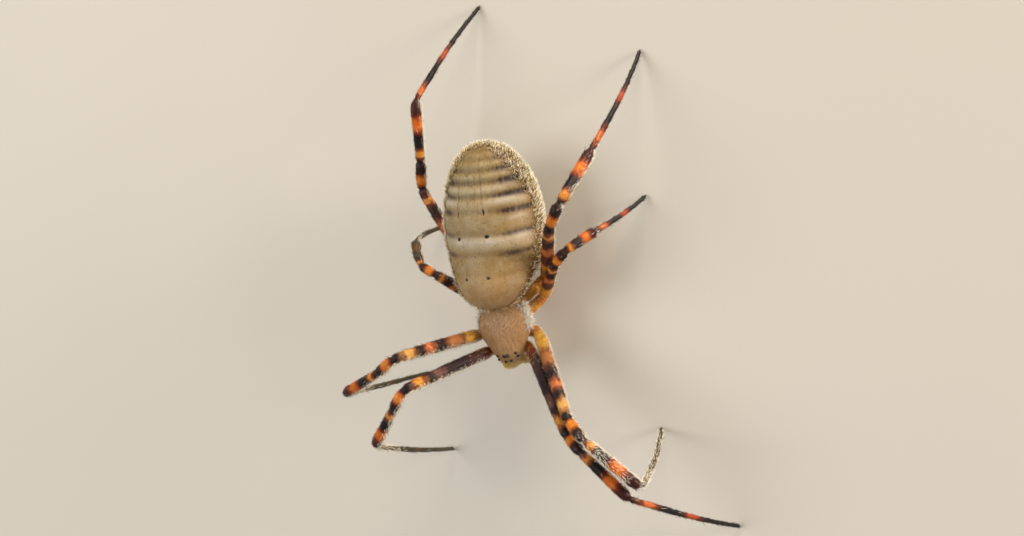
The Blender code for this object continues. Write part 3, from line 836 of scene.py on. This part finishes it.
# Leg cuticle: hard sclerotised chitin, waxy, ringed in orange and black.
leg_cuticle = finish_with(
    "waxy_ringed_leg_cuticle", leg_markings, (0.15, 0.03, 0.5),
    Roughness=0.45, IOR=1.5, Specular_IOR_Level=0.35,
)
for name in LEGS:
    part = tube(f"{name}_skin", limbs[name], 18, 0.14, leg_girth(limbs[name]), 0.35)
    skin_parts.append((part, leg_cuticle))


# ---- Palps, jaws, waist and spinnerets ---------------------------------------------
# Two short feelers and two stout jaws hang under the head, in thin straw-yellow cuticle.
# The waist joins carapace and abdomen, and six small silk spigots stand under the tail.

SPINNERETS = 6
SPINNERET_GIRTHS = (0.27, 0.1)


def even_girth(limb, coat):
    """The radius of a small tube's skin along it, as a function of the distance."""
    return lambda distance: bare_girth(limb, coat, distance) * rounded_off(limb, 0.2, 0.3, distance)


# Mouthpart cuticle: thin straw-yellow chitin, satin, darker in patches a millimetre across.
mouth_cuticle = finish_with(
    "straw_mouthpart_cuticle",
    mottled(1.1, (0.35, "#B88A3C"), (0.5, "#ECC458"), (0.65, "#F6DC84"), detail=3.0),
    (0.12, 0.02, 0.5),
    Roughness=0.42, IOR=1.54,
)
for name in [name for name in limbs if "palp" in name or "chelicera" in name]:
    part = tube(f"{name}_skin", limbs[name], 16, 0.09, even_girth(limbs[name], 0.04), 0.45)
    skin_parts.append((part, mouth_cuticle))
waist = limbs["pedicel"]
skin_parts.append((tube("pedicel_skin", waist, 20, 0.1, even_girth(waist, 0.0), 0.6, 0.7), under_cuticle))

SPINNERET_MIDDLE, SPINNERET_HALF = middle_and_half("spinnerets")
for number in range(SPINNERETS):
    # Three pairs of short cones in a ring, leaning together at their tips.
    turn = math.radians(360 / SPINNERETS * number + 30)
    root = Vector((0.42 * math.sin(turn), 0.38 * math.cos(turn) - 0.1, 0.35))
    tip = Vector((0.16 * math.sin(turn), 0.16 * math.cos(turn) + 0.1, -SPINNERET_HALF[2] * 0.92))
    pose = Matrix.Translation((Vector(SPINNERET_MIDDLE) + (root + tip) / 2) * MM)
    pose = pose @ (tip - root).to_track_quat("Z", "Y").to_matrix().to_4x4()
    wide, narrow = [girth * MM for girth in SPINNERET_GIRTHS]
    cone = {"cap_ends": True, "segments": 14, "radius1": wide, "radius2": narrow}
    bm = bmesh.new()
    bmesh.ops.create_cone(bm, depth=(tip - root).length * MM, matrix=pose, **cone)
    skin_parts.append((as_piece(f"spinneret_{number}", bm), under_cuticle))


# ---- One skin ----------------------------------------------------------------------
# The parts are united wherever they overlap, so that no seam shows; a part that stops just
# short of the rest stays a closed shell of its own in the same hide. Each zone keeps its own
# cuticle, and one unwrap serves the hide and the coat that grows on it.

SKIN_MATERIALS = [abdomen_cuticle, leg_cuticle, carapace_cuticle, under_cuticle, mouth_cuticle]
ABDOMEN, LEG, CARAPACE, UNDER, MOUTH = range(5)
for part, cuticle in skin_parts:
    for material in SKIN_MATERIALS:
        part.data.materials.append(material)
    zone = np.full(len(part.data.polygons), SKIN_MATERIALS.index(cuticle), np.int32)
    part.data.polygons.foreach_set("material_index", zone)
grown = skin_parts[0][0]
for part, cuticle in skin_parts[1:]:
    union = grown.modifiers.new(part.name, "BOOLEAN")
    union.operation = "UNION"
    union.solver = "MANIFOLD"
    union.object = part
bpy.context.view_layer.update()
skin_mesh = bpy.data.meshes.new_from_object(grown.evaluated_get(bpy.context.evaluated_depsgraph_get()))
for part, cuticle in skin_parts:
    bpy.data.objects.remove(part)
bm = bmesh.new()
bm.from_mesh(skin_mesh)
bmesh.ops.triangulate(bm, faces=bm.faces)
bm.to_mesh(skin_mesh)
bm.free()
skin_mesh.shade_smooth()
skin = bpy.data.objects.new("skin", skin_mesh)
bpy.context.scene.collection.objects.link(skin)

# Share of each leg from which its rings are dusky, on the legs where they are.
DUSKY_FROM = {"right_leg_1": 4.0, "right_leg_2": 4.0, "left_leg_2": 4.0, "right_leg_3": 3.3}
DUSK = 0.9
# The rings of one foot lie this much of its length nearer to the body.
NEARER_RINGS = {"right_leg_4": 0.07}
# The standing bristles reach this much further up on the right, and this much further up
# both flanks at the rear, in degrees.
STANDING_ROLL = 9.0
STANDING_SPREAD = 62.0


def beside(limb, points):
    """Distance along a limb, angle round it from its top, and gap over its girth, of points."""
    # The nearest place is the one whose square less twice its product with the point is least.
    squares = (limb.places**2).sum(1)
    nearest = [np.argmin(squares - 2.0 * some @ limb.places.T, 1) for some in np.array_split(points, 20)]
    nearest = np.concatenate(nearest)
    offset = points - limb.places[nearest]
    ahead = (offset * limb.along[nearest]).sum(1)
    spoke = offset - limb.along[nearest] * ahead[:, None]
    around = np.arctan2((spoke * limb.side[nearest]).sum(1), (spoke * limb.top[nearest]).sum(1))
    return limb.distances[nearest] + ahead, around, np.linalg.norm(offset, axis=1) / limb.girths[nearest]


def on_legs(points):
    """Number of the leg each point is on, and how far down it is."""
    number, down = np.zeros(len(points), int), np.zeros(len(points))
    nearest = np.full(len(points), np.inf)
    for index, name in enumerate(LEGS):
        distance, around, gap = beside(limbs[name], points)
        closer = gap < nearest
        number[closer], down[closer], nearest[closer] = index, distance[closer], gap[closer]
    return number, down


def standing(place):
    """How upright the abdomen's bristles stand: flat on the back, up on the rear and flanks."""
    along, turn = abdomen_place(place)
    turn = np.abs(turn - STANDING_ROLL) + STANDING_SPREAD * np.clip(along - 0.28, 0.0, 1.0)
    return np.maximum(smooth_step(62.0, 80.0, turn), smooth_step(0.88, 0.98, along))


def markings(points):
    """What the skin's and coat's patterns read at points of the skin, by attribute name."""
    along, turn = abdomen_place(points)
    streak = (0.15 + 0.4 * smooth_step(0.0, 0.35, along)) * (1.0 - smooth_step(60.0, 90.0, np.abs(turn)))
    number, down = on_legs(points)
    share, pair, dusky = np.zeros(len(points)), np.zeros(len(points)), np.zeros(len(points))
    for index, name in enumerate(LEGS):
        own = number == index
        share[own] = np.interp(down[own], limbs[name].distances, limbs[name].share)
        pair[own] = int(name[-1])
        share[own] += NEARER_RINGS.get(name, 0.0) * smooth_step(4.0, 4.1, share[own])
        if name in DUSKY_FROM:
            start = DUSKY_FROM[name]
            dusky[own] = DUSK * smooth_step(start - 0.04, start + 0.04, share[own])
    return {
        "along": along,
        "turn": np.abs(turn),
        "rolled": np.abs(turn - SCAR_ROLL),
        "furrow": furrows(along, turn)[0],
        "painted_highlight": painted_highlights(along, turn),
        "streak": streak,
        "standing": standing(points),
        "leg_share": share,
        "leg_pair": pair,
        "dusky": dusky,
        "socket": eye_sockets(points),
    }


def write_attributes(mesh, values):
    """Stores each named array on the mesh's points."""
    for name, array in values.items():
        attribute = mesh.attributes.new(name, "FLOAT", "POINT")
        attribute.data.foreach_set("value", np.asarray(array, np.float32))


# The unwrap: (middle, radius) of each round patch, and the low corner and size of each
# limb's strip, which is cut open under the limb.
BACK_PATCH, BELLY_PATCH = ((0.24, 0.24), 0.222), ((0.71, 0.24), 0.222)
CARAPACE_PATCH, PLEURA_PATCH = ((0.12, 0.61), 0.112), ((0.36, 0.61), 0.112)
STERNUM_PATCH, SPINNERET_PATCH = ((0.56, 0.61), 0.06), ((0.69, 0.61), 0.05)
STRIPS = {}
for number, name in enumerate(limbs):
    if name in LEGS:
        STRIPS[name] = ((0.01, 0.755 + 0.03 * number), (0.97, 0.026))
    else:
        STRIPS[name] = ((0.78, 0.52 + 0.04 * (number - len(LEGS))), (0.2, 0.026))

vertices = np.empty(len(skin_mesh.vertices) * 3)
skin_mesh.vertices.foreach_get("co", vertices)
vertices = vertices.reshape(-1, 3) / MM
corners = np.empty(len(skin_mesh.loops), int)
skin_mesh.loops.foreach_get("vertex_index", corners)
zones = np.empty(len(skin_mesh.polygons), int)
skin_mesh.polygons.foreach_get("material_index", zones)
faces = corners.reshape(-1, 3)
middles = vertices[faces].mean(1)
unwrap = np.zeros((len(faces), 3, 2))


def on_patch(patch, away, flat=False):
    """Places on a round patch for directions away from the patch's middle, seen along its Z."""
    level = np.hypot(away[:, 0], away[:, 1])
    reach = level if flat else np.arctan2(level, away[:, 2]) / (math.pi / 2)
    spoke = away[:, :2] / np.maximum(level, 1e-9)[:, None]
    return np.array(patch[0]) + spoke * reach[:, None] * patch[1]


def lay_ball(chosen, middle, half, lift, above, below):
    """Lays a ball-like zone on two round patches, its upper half and its lower half."""
    away = (vertices[faces[chosen]] - middle) / half
    upper = (middles[chosen, 2] - middle[2]) >= lift
    for patch, share, sign in ((above, upper, 1.0), (below, ~upper, -1.0)):
        flat = away[share].reshape(-1, 3) * (sign, 1.0, sign)
        unwrap[np.flatnonzero(chosen)[share]] = on_patch(patch, flat).reshape(-1, 3, 2)


lay_ball(zones == ABDOMEN, ABDOMEN_MIDDLE, ABDOMEN_HALF, 0.0, BACK_PATCH, BELLY_PATCH)
rim = -0.5 * CARAPACE_HALF[2]
lay_ball(zones == CARAPACE, CARAPACE_MIDDLE, CARAPACE_HALF, rim, CARAPACE_PATCH, PLEURA_PATCH)
owner, nearest = np.full(len(faces), -1), np.full(len(faces), np.inf)
for number, name in enumerate(limbs):
    zone = LEG if name in LEGS else UNDER if name == "pedicel" else MOUTH
    chosen = np.flatnonzero(zones == zone)
    gap = beside(limbs[name], middles[chosen])[2]
    closer = gap < nearest[chosen]
    nearest[chosen[closer]] = gap[closer]
    owner[chosen[closer]] = number
# What of the underside's zone is nearer to the sternum or the spinnerets than to the waist.
below = np.flatnonzero(zones == UNDER)
for patch, middle, half in (
    (STERNUM_PATCH, STERNUM_MIDDLE, STERNUM_HALF),
    (SPINNERET_PATCH, SPINNERET_MIDDLE, SPINNERET_HALF),
):
    gap = np.linalg.norm((middles[below] - middle) / half, axis=1)
    closer = below[gap < np.minimum(nearest[below], 1.6)]
    owner[closer] = -1
    away = ((vertices[faces[closer]] - middle) / half).reshape(-1, 3) * (-1.0, 1.0, -1.0)
    unwrap[closer] = on_patch(patch, away, flat=True).reshape(-1, 3, 2)
for number, (name, limb) in enumerate(limbs.items()):
    chosen = np.flatnonzero(owner == number)
    distance, around, gap = beside(limb, vertices[faces[chosen]].reshape(-1, 3))
    across = (around / (2 * math.pi) + 0.5).reshape(-1, 3)
    across += (across < 0.5) & (np.ptp(across, axis=1)[:, None] > 0.5)
    low, size = STRIPS[name]
    down = np.clip(distance / limb.distances[-1], -0.02, 1.01).reshape(-1, 3)
    unwrap[chosen, :, 0] = low[0] + size[0] * down
    unwrap[chosen, :, 1] = low[1] + size[1] * across
layer = skin_mesh.uv_layers.new(name="OFBake")
layer.data.foreach_set("uv", unwrap.reshape(-1).astype(np.float32))
write_attributes(skin_mesh, markings(vertices))

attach(skin, "root")
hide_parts(*[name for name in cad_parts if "_eye_" not in name])


# ---- Eyes --------------------------------------------------------------------------
# Eight simple eyes, each a clear hard lens set in the cuticle. They look black because
# nothing lights the cup behind the lens. Each sits in a low ring of the carapace.

# Polished lens cuticle: glassy, almost black.
lens_cuticle = finish_with(
    "polished_eye_lens", mottled(3.0, (0.35, "#050406"), (0.7, "#14100F")), Roughness=0.06, IOR=1.52
)
for name, (middle, half) in EYE_PLACES.items():
    eye = ball(name.replace("_eye_", "_lens_"), 24, 16, lambda unit: middle + unit * half, [lens_cuticle])
    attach(eye, "root")
    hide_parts(name)


# ---- Claws and fangs ---------------------------------------------------------------
# Each foot ends in a pair of combed claws and a short middle hook, and each jaw in a fang
# that folds in under it. All are solid dark horn set in the end of the limb.

CLAW_LENGTH = 0.24
CLAW_GIRTH = 0.032
# Each claw's place off the foot's middle and its share of the full length.
CLAWS = ((0.05, 1.0), (-0.05, 1.0), (0.0, 0.6))
CLAW_TIP_HEIGHT = 0.03
FANG_GIRTH = 0.085
# Dark horn: thick tanned chitin, glossy, reddish where it is thin.
horn = finish_with(
    "glossy_dark_horn", mottled(2.5, (0.35, "#0E0807"), (0.7, "#3A1A10")), Roughness=0.2, IOR=1.56
)


def hook(name, start, middle, end, girth):
    """A tapered horn on a curve from start past middle to end."""
    share = np.linspace(0.0, 1.0, 9)[:, None]
    line = Line(start * (1 - share) ** 2 + middle * 2 * share * (1 - share) + end * share**2)
    length = line.distances[-1]
    return tube(name, line, 8, 0.1 * length, lambda down: girth * (1.05 - np.clip(down / length, 0.0, 1.0)))


def joined(name, parts, material):
    """One piece made of several meshes, which are removed."""
    bm = bmesh.new()
    for part in parts:
        bm.from_mesh(part.data)
        bpy.data.objects.remove(part)
    return as_piece(name, bm, [material])


claws = []
for name in LEGS:
    tip, ahead, side = limbs[name].places[-1], limbs[name].along[-1], limbs[name].side[-1]
    outwards = ahead * (1.0, 1.0, 0.0)
    outwards /= np.linalg.norm(outwards)
    for off, long in CLAWS:
        start = tip - ahead * 0.08 + side * off
        middle = start + ahead * 0.1 + outwards * 0.55 * CLAW_LENGTH * long + (0.0, 0.0, 0.05)
        end = start + outwards * CLAW_LENGTH * long + side * off
        end[2], middle[2] = CLAW_TIP_HEIGHT, max(middle[2], 2 * CLAW_TIP_HEIGHT)
        claws.append(hook(f"{name}_claw", start, middle, end, CLAW_GIRTH * (0.6 + 0.4 * long)))
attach(joined("foot_claws", claws, horn), "root")

fangs = []
for side, sign in SIDES.items():
    jaw = limbs[f"{side}_chelicera"]
    tip, ahead = jaw.places[-1], jaw.along[-1]
    inwards = np.array((-sign, 0.0, 0.0))
    start = tip - ahead * 0.1 - inwards * 0.1
    middle = tip + ahead * 0.16 + inwards * 0.05
    end = tip + inwards * 0.42 - ahead * 0.12 + (0.0, 0.16, 0.0)
    fangs.append(hook(f"{side}_fang", start, middle, end, FANG_GIRTH))
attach(joined("fangs", fangs, horn), "root")


# ---- Bristles of the abdomen -------------------------------------------------------
# Bristles of clear chitin, each rooted in its own socket of the hide: short and flat on the
# back, long and upright on the rear and flanks, where they catch the light as a pale fringe.

# No hair reaches below this height over the floor.
FLOOR_GAP = 0.02
# A hair is sunk this deep in the hide, and sags by this share of its lift past its middle.
ROOT_DEPTH = 0.03
SAG = 0.3
# Radius of a hair's own patch on the unwrap.
HAIR_PATCH = 0.0015
# A hair's faces, by the corners of its root, 0 to 2, and middle, 3 to 5, and its tip, 6.
HAIR_CORNERS = np.array([0, 1, 2, 3, 4, 1, 0, 4, 5, 2, 1, 5, 3, 0, 2, 6, 4, 3, 6, 5, 4, 6, 3, 5])
HAIR_SIDES = np.array([3, 4, 4, 4, 3, 3, 3])
BRISTLES = 12500


def scatter(zone, count, seed, keep=None):
    """Roots spread over a zone of the skin: places, outward normals, and places on the unwrap."""
    rng = np.random.default_rng(seed)
    chosen = np.flatnonzero(zones == zone)
    sides = vertices[faces[chosen]]
    square = np.cross(sides[:, 1] - sides[:, 0], sides[:, 2] - sides[:, 0])
    area = np.linalg.norm(square, axis=1)
    pick = rng.choice(len(chosen), count, p=area / area.sum())
    share = rng.dirichlet((1.0, 1.0, 1.0), count)[:, :, None]
    place = (sides[pick] * share).sum(1)
    normal = square[pick] / area[pick][:, None]
    root = (unwrap[chosen[pick]] * share).sum(1)
    if keep is not None:
        kept = rng.random(count) < keep(place)
        place, normal, root = place[kept], normal[kept], root[kept]
    return place, normal, root, rng


def unit(vectors):
    """Vectors made one long."""
    return vectors / np.maximum(np.linalg.norm(vectors, axis=-1, keepdims=True), 1e-9)


def hairs(name, roots, lie, lift, length, width, material, tone):
    """One coat piece: a bent spike at each root, raised by lift degrees from where it lies."""
    place, normal, root, rng = roots
    lie = unit(lie - normal * (lie * normal).sum(1)[:, None])
    lift = np.radians(lift)[:, None]
    first = unit(lie * np.cos(lift) + normal * np.sin(lift))
    second = unit(lie * np.cos(lift * (1.0 - SAG)) + normal * np.sin(lift * (1.0 - SAG)))
    side = unit(np.cross(first, normal + lie * 1e-3))
    over = np.cross(side, first)
    middle = place + first * (0.5 * length)[:, None]
    tip = middle + second * (0.5 * length)[:, None]
    clear = np.minimum(middle[:, 2], tip[:, 2]) > FLOOR_GAP
    place, first, side, over, middle = place[clear], first[clear], side[clear], over[clear], middle[clear]
    tip, width, root, tone = tip[clear], width[clear], root[clear], tone[clear]
    points, marks = [], []
    for centre, girth, spread in ((place - first * ROOT_DEPTH, 0.5, 1.0), (middle, 0.36, 0.6)):
        for angle in np.radians((90.0, 210.0, 330.0)):
            spoke = side * math.cos(angle) + over * math.sin(angle)
            points.append(centre + spoke * (girth * width)[:, None])
            marks.append(root + HAIR_PATCH * spread * np.array((math.cos(angle), math.sin(angle))))
    points.append(tip)
    marks.append(root)
    points, marks = np.stack(points, 1), np.stack(marks, 1)
    count, each = points.shape[:2]
    corner = (HAIR_CORNERS + each * np.arange(count)[:, None]).reshape(-1)
    mesh = bpy.data.meshes.new(name)
    mesh.vertices.add(each * count)
    mesh.vertices.foreach_set("co", (points * MM).reshape(-1))
    mesh.loops.add(len(corner))
    mesh.loops.foreach_set("vertex_index", corner)
    starts = np.concatenate([[0], np.cumsum(np.tile(HAIR_SIDES, count))[:-1]])
    mesh.polygons.add(len(starts))
    mesh.polygons.foreach_set("loop_start", starts)
    mesh.update(calc_edges=True)
    mesh.shade_smooth()
    layer = mesh.uv_layers.new(name="OFBake")
    layer.data.foreach_set("uv", marks.reshape(-1, 2)[corner].reshape(-1).astype(np.float32))
    values = {key: np.repeat(array, each) for key, array in markings(place).items()}
    values["tone"] = np.repeat(tone, each)
    values["tip"] = np.tile((0.0, 0.0, 0.0, 0.5, 0.5, 0.5, 1.0), count)
    write_attributes(mesh, values)
    mesh.materials.append(material)
    piece = bpy.data.objects.new(name, mesh)
    bpy.context.scene.collection.objects.link(piece)
    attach(piece, "root")
    return piece


def bristle_colours(tree):
    """Gold at the root and near white at the tip, or the hide's colour, painted shade and highlights
    included, at a low tone.
    """
    tone, tip = [add(tree, "Attribute", out="Fac", attribute_name=name) for name in ("tone", "tip")]
    straw = add(tree, "ValToRGB", {"Fac": tip}, [(0.0, "#8A5A20"), (0.35, "#F6D48A"), (0.75, "#FFFAE6")])
    return add(tree, "Mix", {0: tone, 6: abdomen_markings(tree), 7: straw}, **COLOURS)


# Straw-white bristle: thin clear chitin that lets light through, a little glossy.
bristle = finish_with(
    "straw_white_bristle", bristle_colours, Roughness=0.35, IOR=1.55,
    Subsurface_Weight=0.6, Subsurface_Radius=(0.00012, 0.0001, 0.00006), Subsurface_Scale=1.0,
)


def on_rear_and_flanks(place):
    """Bristles are thick on the rear and the flanks and thin out over the front of the back."""
    along, turn = abdomen_place(place)
    return 0.1 + 0.9 * standing(place) * (0.35 + 0.65 * smooth_step(-0.75, 0.0, along))


backwards = np.array((0.0, 1.0, 0.0))
for part in range(2):
    roots = scatter(ABDOMEN, BRISTLES, 11 + part, on_rear_and_flanks)
    place, normal, root, rng = roots
    count, upright = len(place), standing(place)
    lie = backwards + rng.normal(0.0, 1.0, place.shape) * (0.2 + 0.45 * upright)[:, None]
    lift = 12.0 + 45.0 * upright + rng.normal(0.0, 9.0, count)
    length = (0.24 + 0.26 * upright) * rng.uniform(0.7, 1.25, count)
    width = rng.uniform(0.032, 0.046, count) + 0.026 * upright
    # Nearly half of the standing bristles are golden brown between the pale ones.
    gilt = rng.random(count) < 0.45
    tone = np.clip(0.12 + upright * np.where(gilt, rng.uniform(0.0, 0.35, count), 1.0), 0.0, 1.0)
    hairs(f"abdomen_bristles_{part}", roots, lie, lift, length, width, bristle, tone)


# ---- Down and rim hair of the carapace ---------------------------------------------
# Flattened pale hairs lie on the shield and point to the rear, but for rings round the
# eyes. Longer white hairs stand out from its edge over the bases of the legs.


def by_tone(*stops):
    """Colours each hair of a coat by its own tone, from 0 to 1."""

    def colours(tree):
        tone = add(tree, "Attribute", out="Fac", attribute_name="tone")
        return add(tree, "ValToRGB", {"Fac": tone}, stops)

    return colours


def grow(name, roots, lie, waver, lift, length, width, material):
    """A coat piece of like hairs that waver about where they lie and about their lift.

    Lift is its mean and its spread in degrees, and length and width are the least and the most.
    """
    place, normal, root, rng = roots
    count = len(place)
    lie = lie + rng.normal(0.0, waver, place.shape)
    lift = rng.normal(*lift, count)
    length, width = rng.uniform(*length, count), rng.uniform(*width, count)
    return hairs(name, roots, lie, lift, length, width, material, rng.random(count))


def off_the_eyes(place):
    """Down covers the carapace but for rings round the eyes."""
    clear = np.ones(len(place))
    for middle, half in EYE_PLACES.values():
        clear *= np.linalg.norm(place - middle, axis=1) > 1.35 * half.max()
    return clear


# Silver down: soft and satin, close to the shield in colour.
down = finish_with(
    "silver_carapace_down", by_tone((0.0, "#B28A5C"), (0.7, "#B88E60"), (1.0, "#C6A274")),
    Roughness=0.4, IOR=1.55,
)
roots = scatter(CARAPACE, 9000, 21, off_the_eyes)
grow("carapace_down", roots, backwards, 0.1, (7.0, 2.0), (0.12, 0.22), (0.012, 0.02), down)


def on_the_rim(place):
    """Rim hair grows along the sides of the carapace, low down."""
    x, y, z = (place - CARAPACE_MIDDLE).T
    low = smooth_step(0.1, -0.5, z / CARAPACE_HALF[2]) * smooth_step(-1.6, -1.2, z / CARAPACE_HALF[2])
    along = smooth_step(-0.6, 0.5, y) * smooth_step(2.6, 2.0, y)
    return low * smooth_step(1.6, 2.1, np.abs(x)) * along * 0.8


# Rim hair: long and bright white.
white_hair = finish_with(
    "white_rim_hair", by_tone((0.0, "#EADCB8"), (0.4, "#FFFAEC"), (1.0, "#FFFFFF")),
    Roughness=0.35, IOR=1.55,
)
roots = scatter(CARAPACE, 16000, 23, on_the_rim)
outwards = np.sign(roots[0][:, :1] - CARAPACE_MIDDLE[0]) * (1.0, 0.0, 0.0) + (0.0, 0.2, 0.5)
grow("carapace_rim_hair", roots, outwards, 0.5, (34.0, 10.0), (0.42, 0.84), (0.03, 0.045), white_hair)


# ---- Hair and spines of the legs ---------------------------------------------------
# Stiff fine hairs take the colour of the ring they grow on. White ones lie along the side
# of each leg that catches the light, as painted rim light, and golden ones round its base. Stout black
# spines stand out between them.

# White hairs are thickest on the side of each leg that faces this way, towards the light, as
# painted rim light, on the dusky feet's ankles, and all over one leg's silvery foot and shin.
RIM_LIT_SIDES = {name: (0.8, 0.25, -0.5) for name in LEGS}
RIM_LIT_SIDES["right_leg_1"] = RIM_LIT_SIDES["right_leg_2"] = (0.4, -0.85, -0.3)
SILVERY_LEG = "left_leg_2"
SILVERY_SHARE = 0.45
LEG_HAIRS = 16000


def leg_hair_colours(tree):
    """The legs' own rings, and white at the highest tones."""
    tone = add(tree, "Attribute", out="Fac", attribute_name="tone")
    white = add(tree, "MapRange", {"Value": tone, "From Min": 0.85, "From Max": 0.9})
    return add(tree, "Mix", {0: white, 6: leg_markings(tree), 7: "#FBF4E4"}, **COLOURS)


def down_the_leg(place):
    """Direction of each root's leg, towards the foot."""
    number, down = on_legs(place)
    lie = np.zeros_like(place)
    for index, name in enumerate(LEGS):
        own = number == index
        lie[own] = limbs[name].at(limbs[name].along, down[own])
    return lie


def white_share(place, normal):
    """Share of the hairs at each root that are white."""
    read, number = markings(place), on_legs(place)[0]
    share = read["leg_share"]
    # Painted rim light: hairs on the side of each leg that faces the light are made white.
    rim_lit_side = unit(np.array([RIM_LIT_SIDES[name] for name in LEGS]))[number]
    faces_it = smooth_step(0.35, 0.85, (normal * rim_lit_side).sum(1)) * smooth_step(4.1, 4.0, share)
    silvery = (number == LEGS.index(SILVERY_LEG)) * SILVERY_SHARE
    shin = silvery * smooth_step(2.7, 2.75, share) * smooth_step(3.9, 3.8, share)
    shin = shin * (1 + smooth_step(3.08, 3.12, share) * smooth_step(3.5, 3.44, share))
    ankle = (read["dusky"] > 0) * (share > 3.95) * np.maximum(smooth_step(4.4, 4.15, share), silvery)
    return 0.006 + 0.95 * faces_it + shin + ankle


# Leg hair: matt and stiff.
leg_hair = finish_with(
    "ringed_leg_hair", leg_hair_colours, Roughness=0.5, IOR=1.5, Specular_IOR_Level=0.3
)
for part in range(2):
    roots = scatter(LEG, LEG_HAIRS, 31 + part)
    place, normal, root, rng = roots
    count = len(place)
    lie = down_the_leg(place) + rng.normal(0.0, 0.15, place.shape)
    lift = 24.0 + rng.normal(0.0, 8.0, count)
    length = 0.3 * rng.uniform(0.6, 1.2, count)
    is_white = rng.random(count) < white_share(place, normal)
    tone = np.where(is_white, 1.0, 0.8 * rng.random(count))
    length = length * np.where(is_white, 1.25, 1.0)
    width = rng.uniform(0.022, 0.036, count) * np.where(is_white, 1.35, 1.0)
    lift = lift + np.where(is_white, 10.0, 0.0)
    hairs(f"leg_hair_{part}", roots, lie, lift, length, width, leg_hair, tone)

# Golden hair: soft and long.
golden_hair = finish_with(
    "golden_leg_base_hair",
    by_tone((0.0, "#C8852C"), (0.5, "#F0C060"), (0.8, "#FFF0C8"), (1.0, "#FFFAF0")),
    Roughness=0.4, IOR=1.55,
)
roots = scatter(LEG, 26000, 37, lambda place: smooth_step(1.25, 1.0, markings(place)["leg_share"]))
lie = down_the_leg(roots[0])
grow("leg_base_hair", roots, lie, 0.3, (34.0, 10.0), (0.24, 0.48), (0.024, 0.038), golden_hair)

# Spine: stout glossy black bristle that stands off the leg.
spine = finish_with(
    "black_leg_spine", by_tone((0.0, "#120B09"), (1.0, "#2B1912")), Roughness=0.25, IOR=1.56
)
roots = scatter(LEG, 900, 41, lambda place: markings(place)["leg_share"] > 1.1)
grow("leg_spines", roots, down_the_leg(roots[0]), 0.1, (38.0, 8.0), (0.3, 0.6), (0.034, 0.048), spine)


# ---- Hair of the mouthparts --------------------------------------------------------
# Soft straw-coloured hair covers the palps and the jaws and hangs forward over the mouth.

straw_hair = finish_with(
    "straw_mouthpart_hair", by_tone((0.0, "#E0B450"), (0.5, "#FFE48C"), (1.0, "#FFF8D8")),
    Roughness=0.4, IOR=1.55,
)
roots = scatter(MOUTH, 2600, 51)
lie = np.array((0.0, -0.6, -0.6))
grow("mouthpart_hair", roots, lie, 0.35, (35.0, 10.0), (0.18, 0.36), (0.022, 0.034), straw_hair)
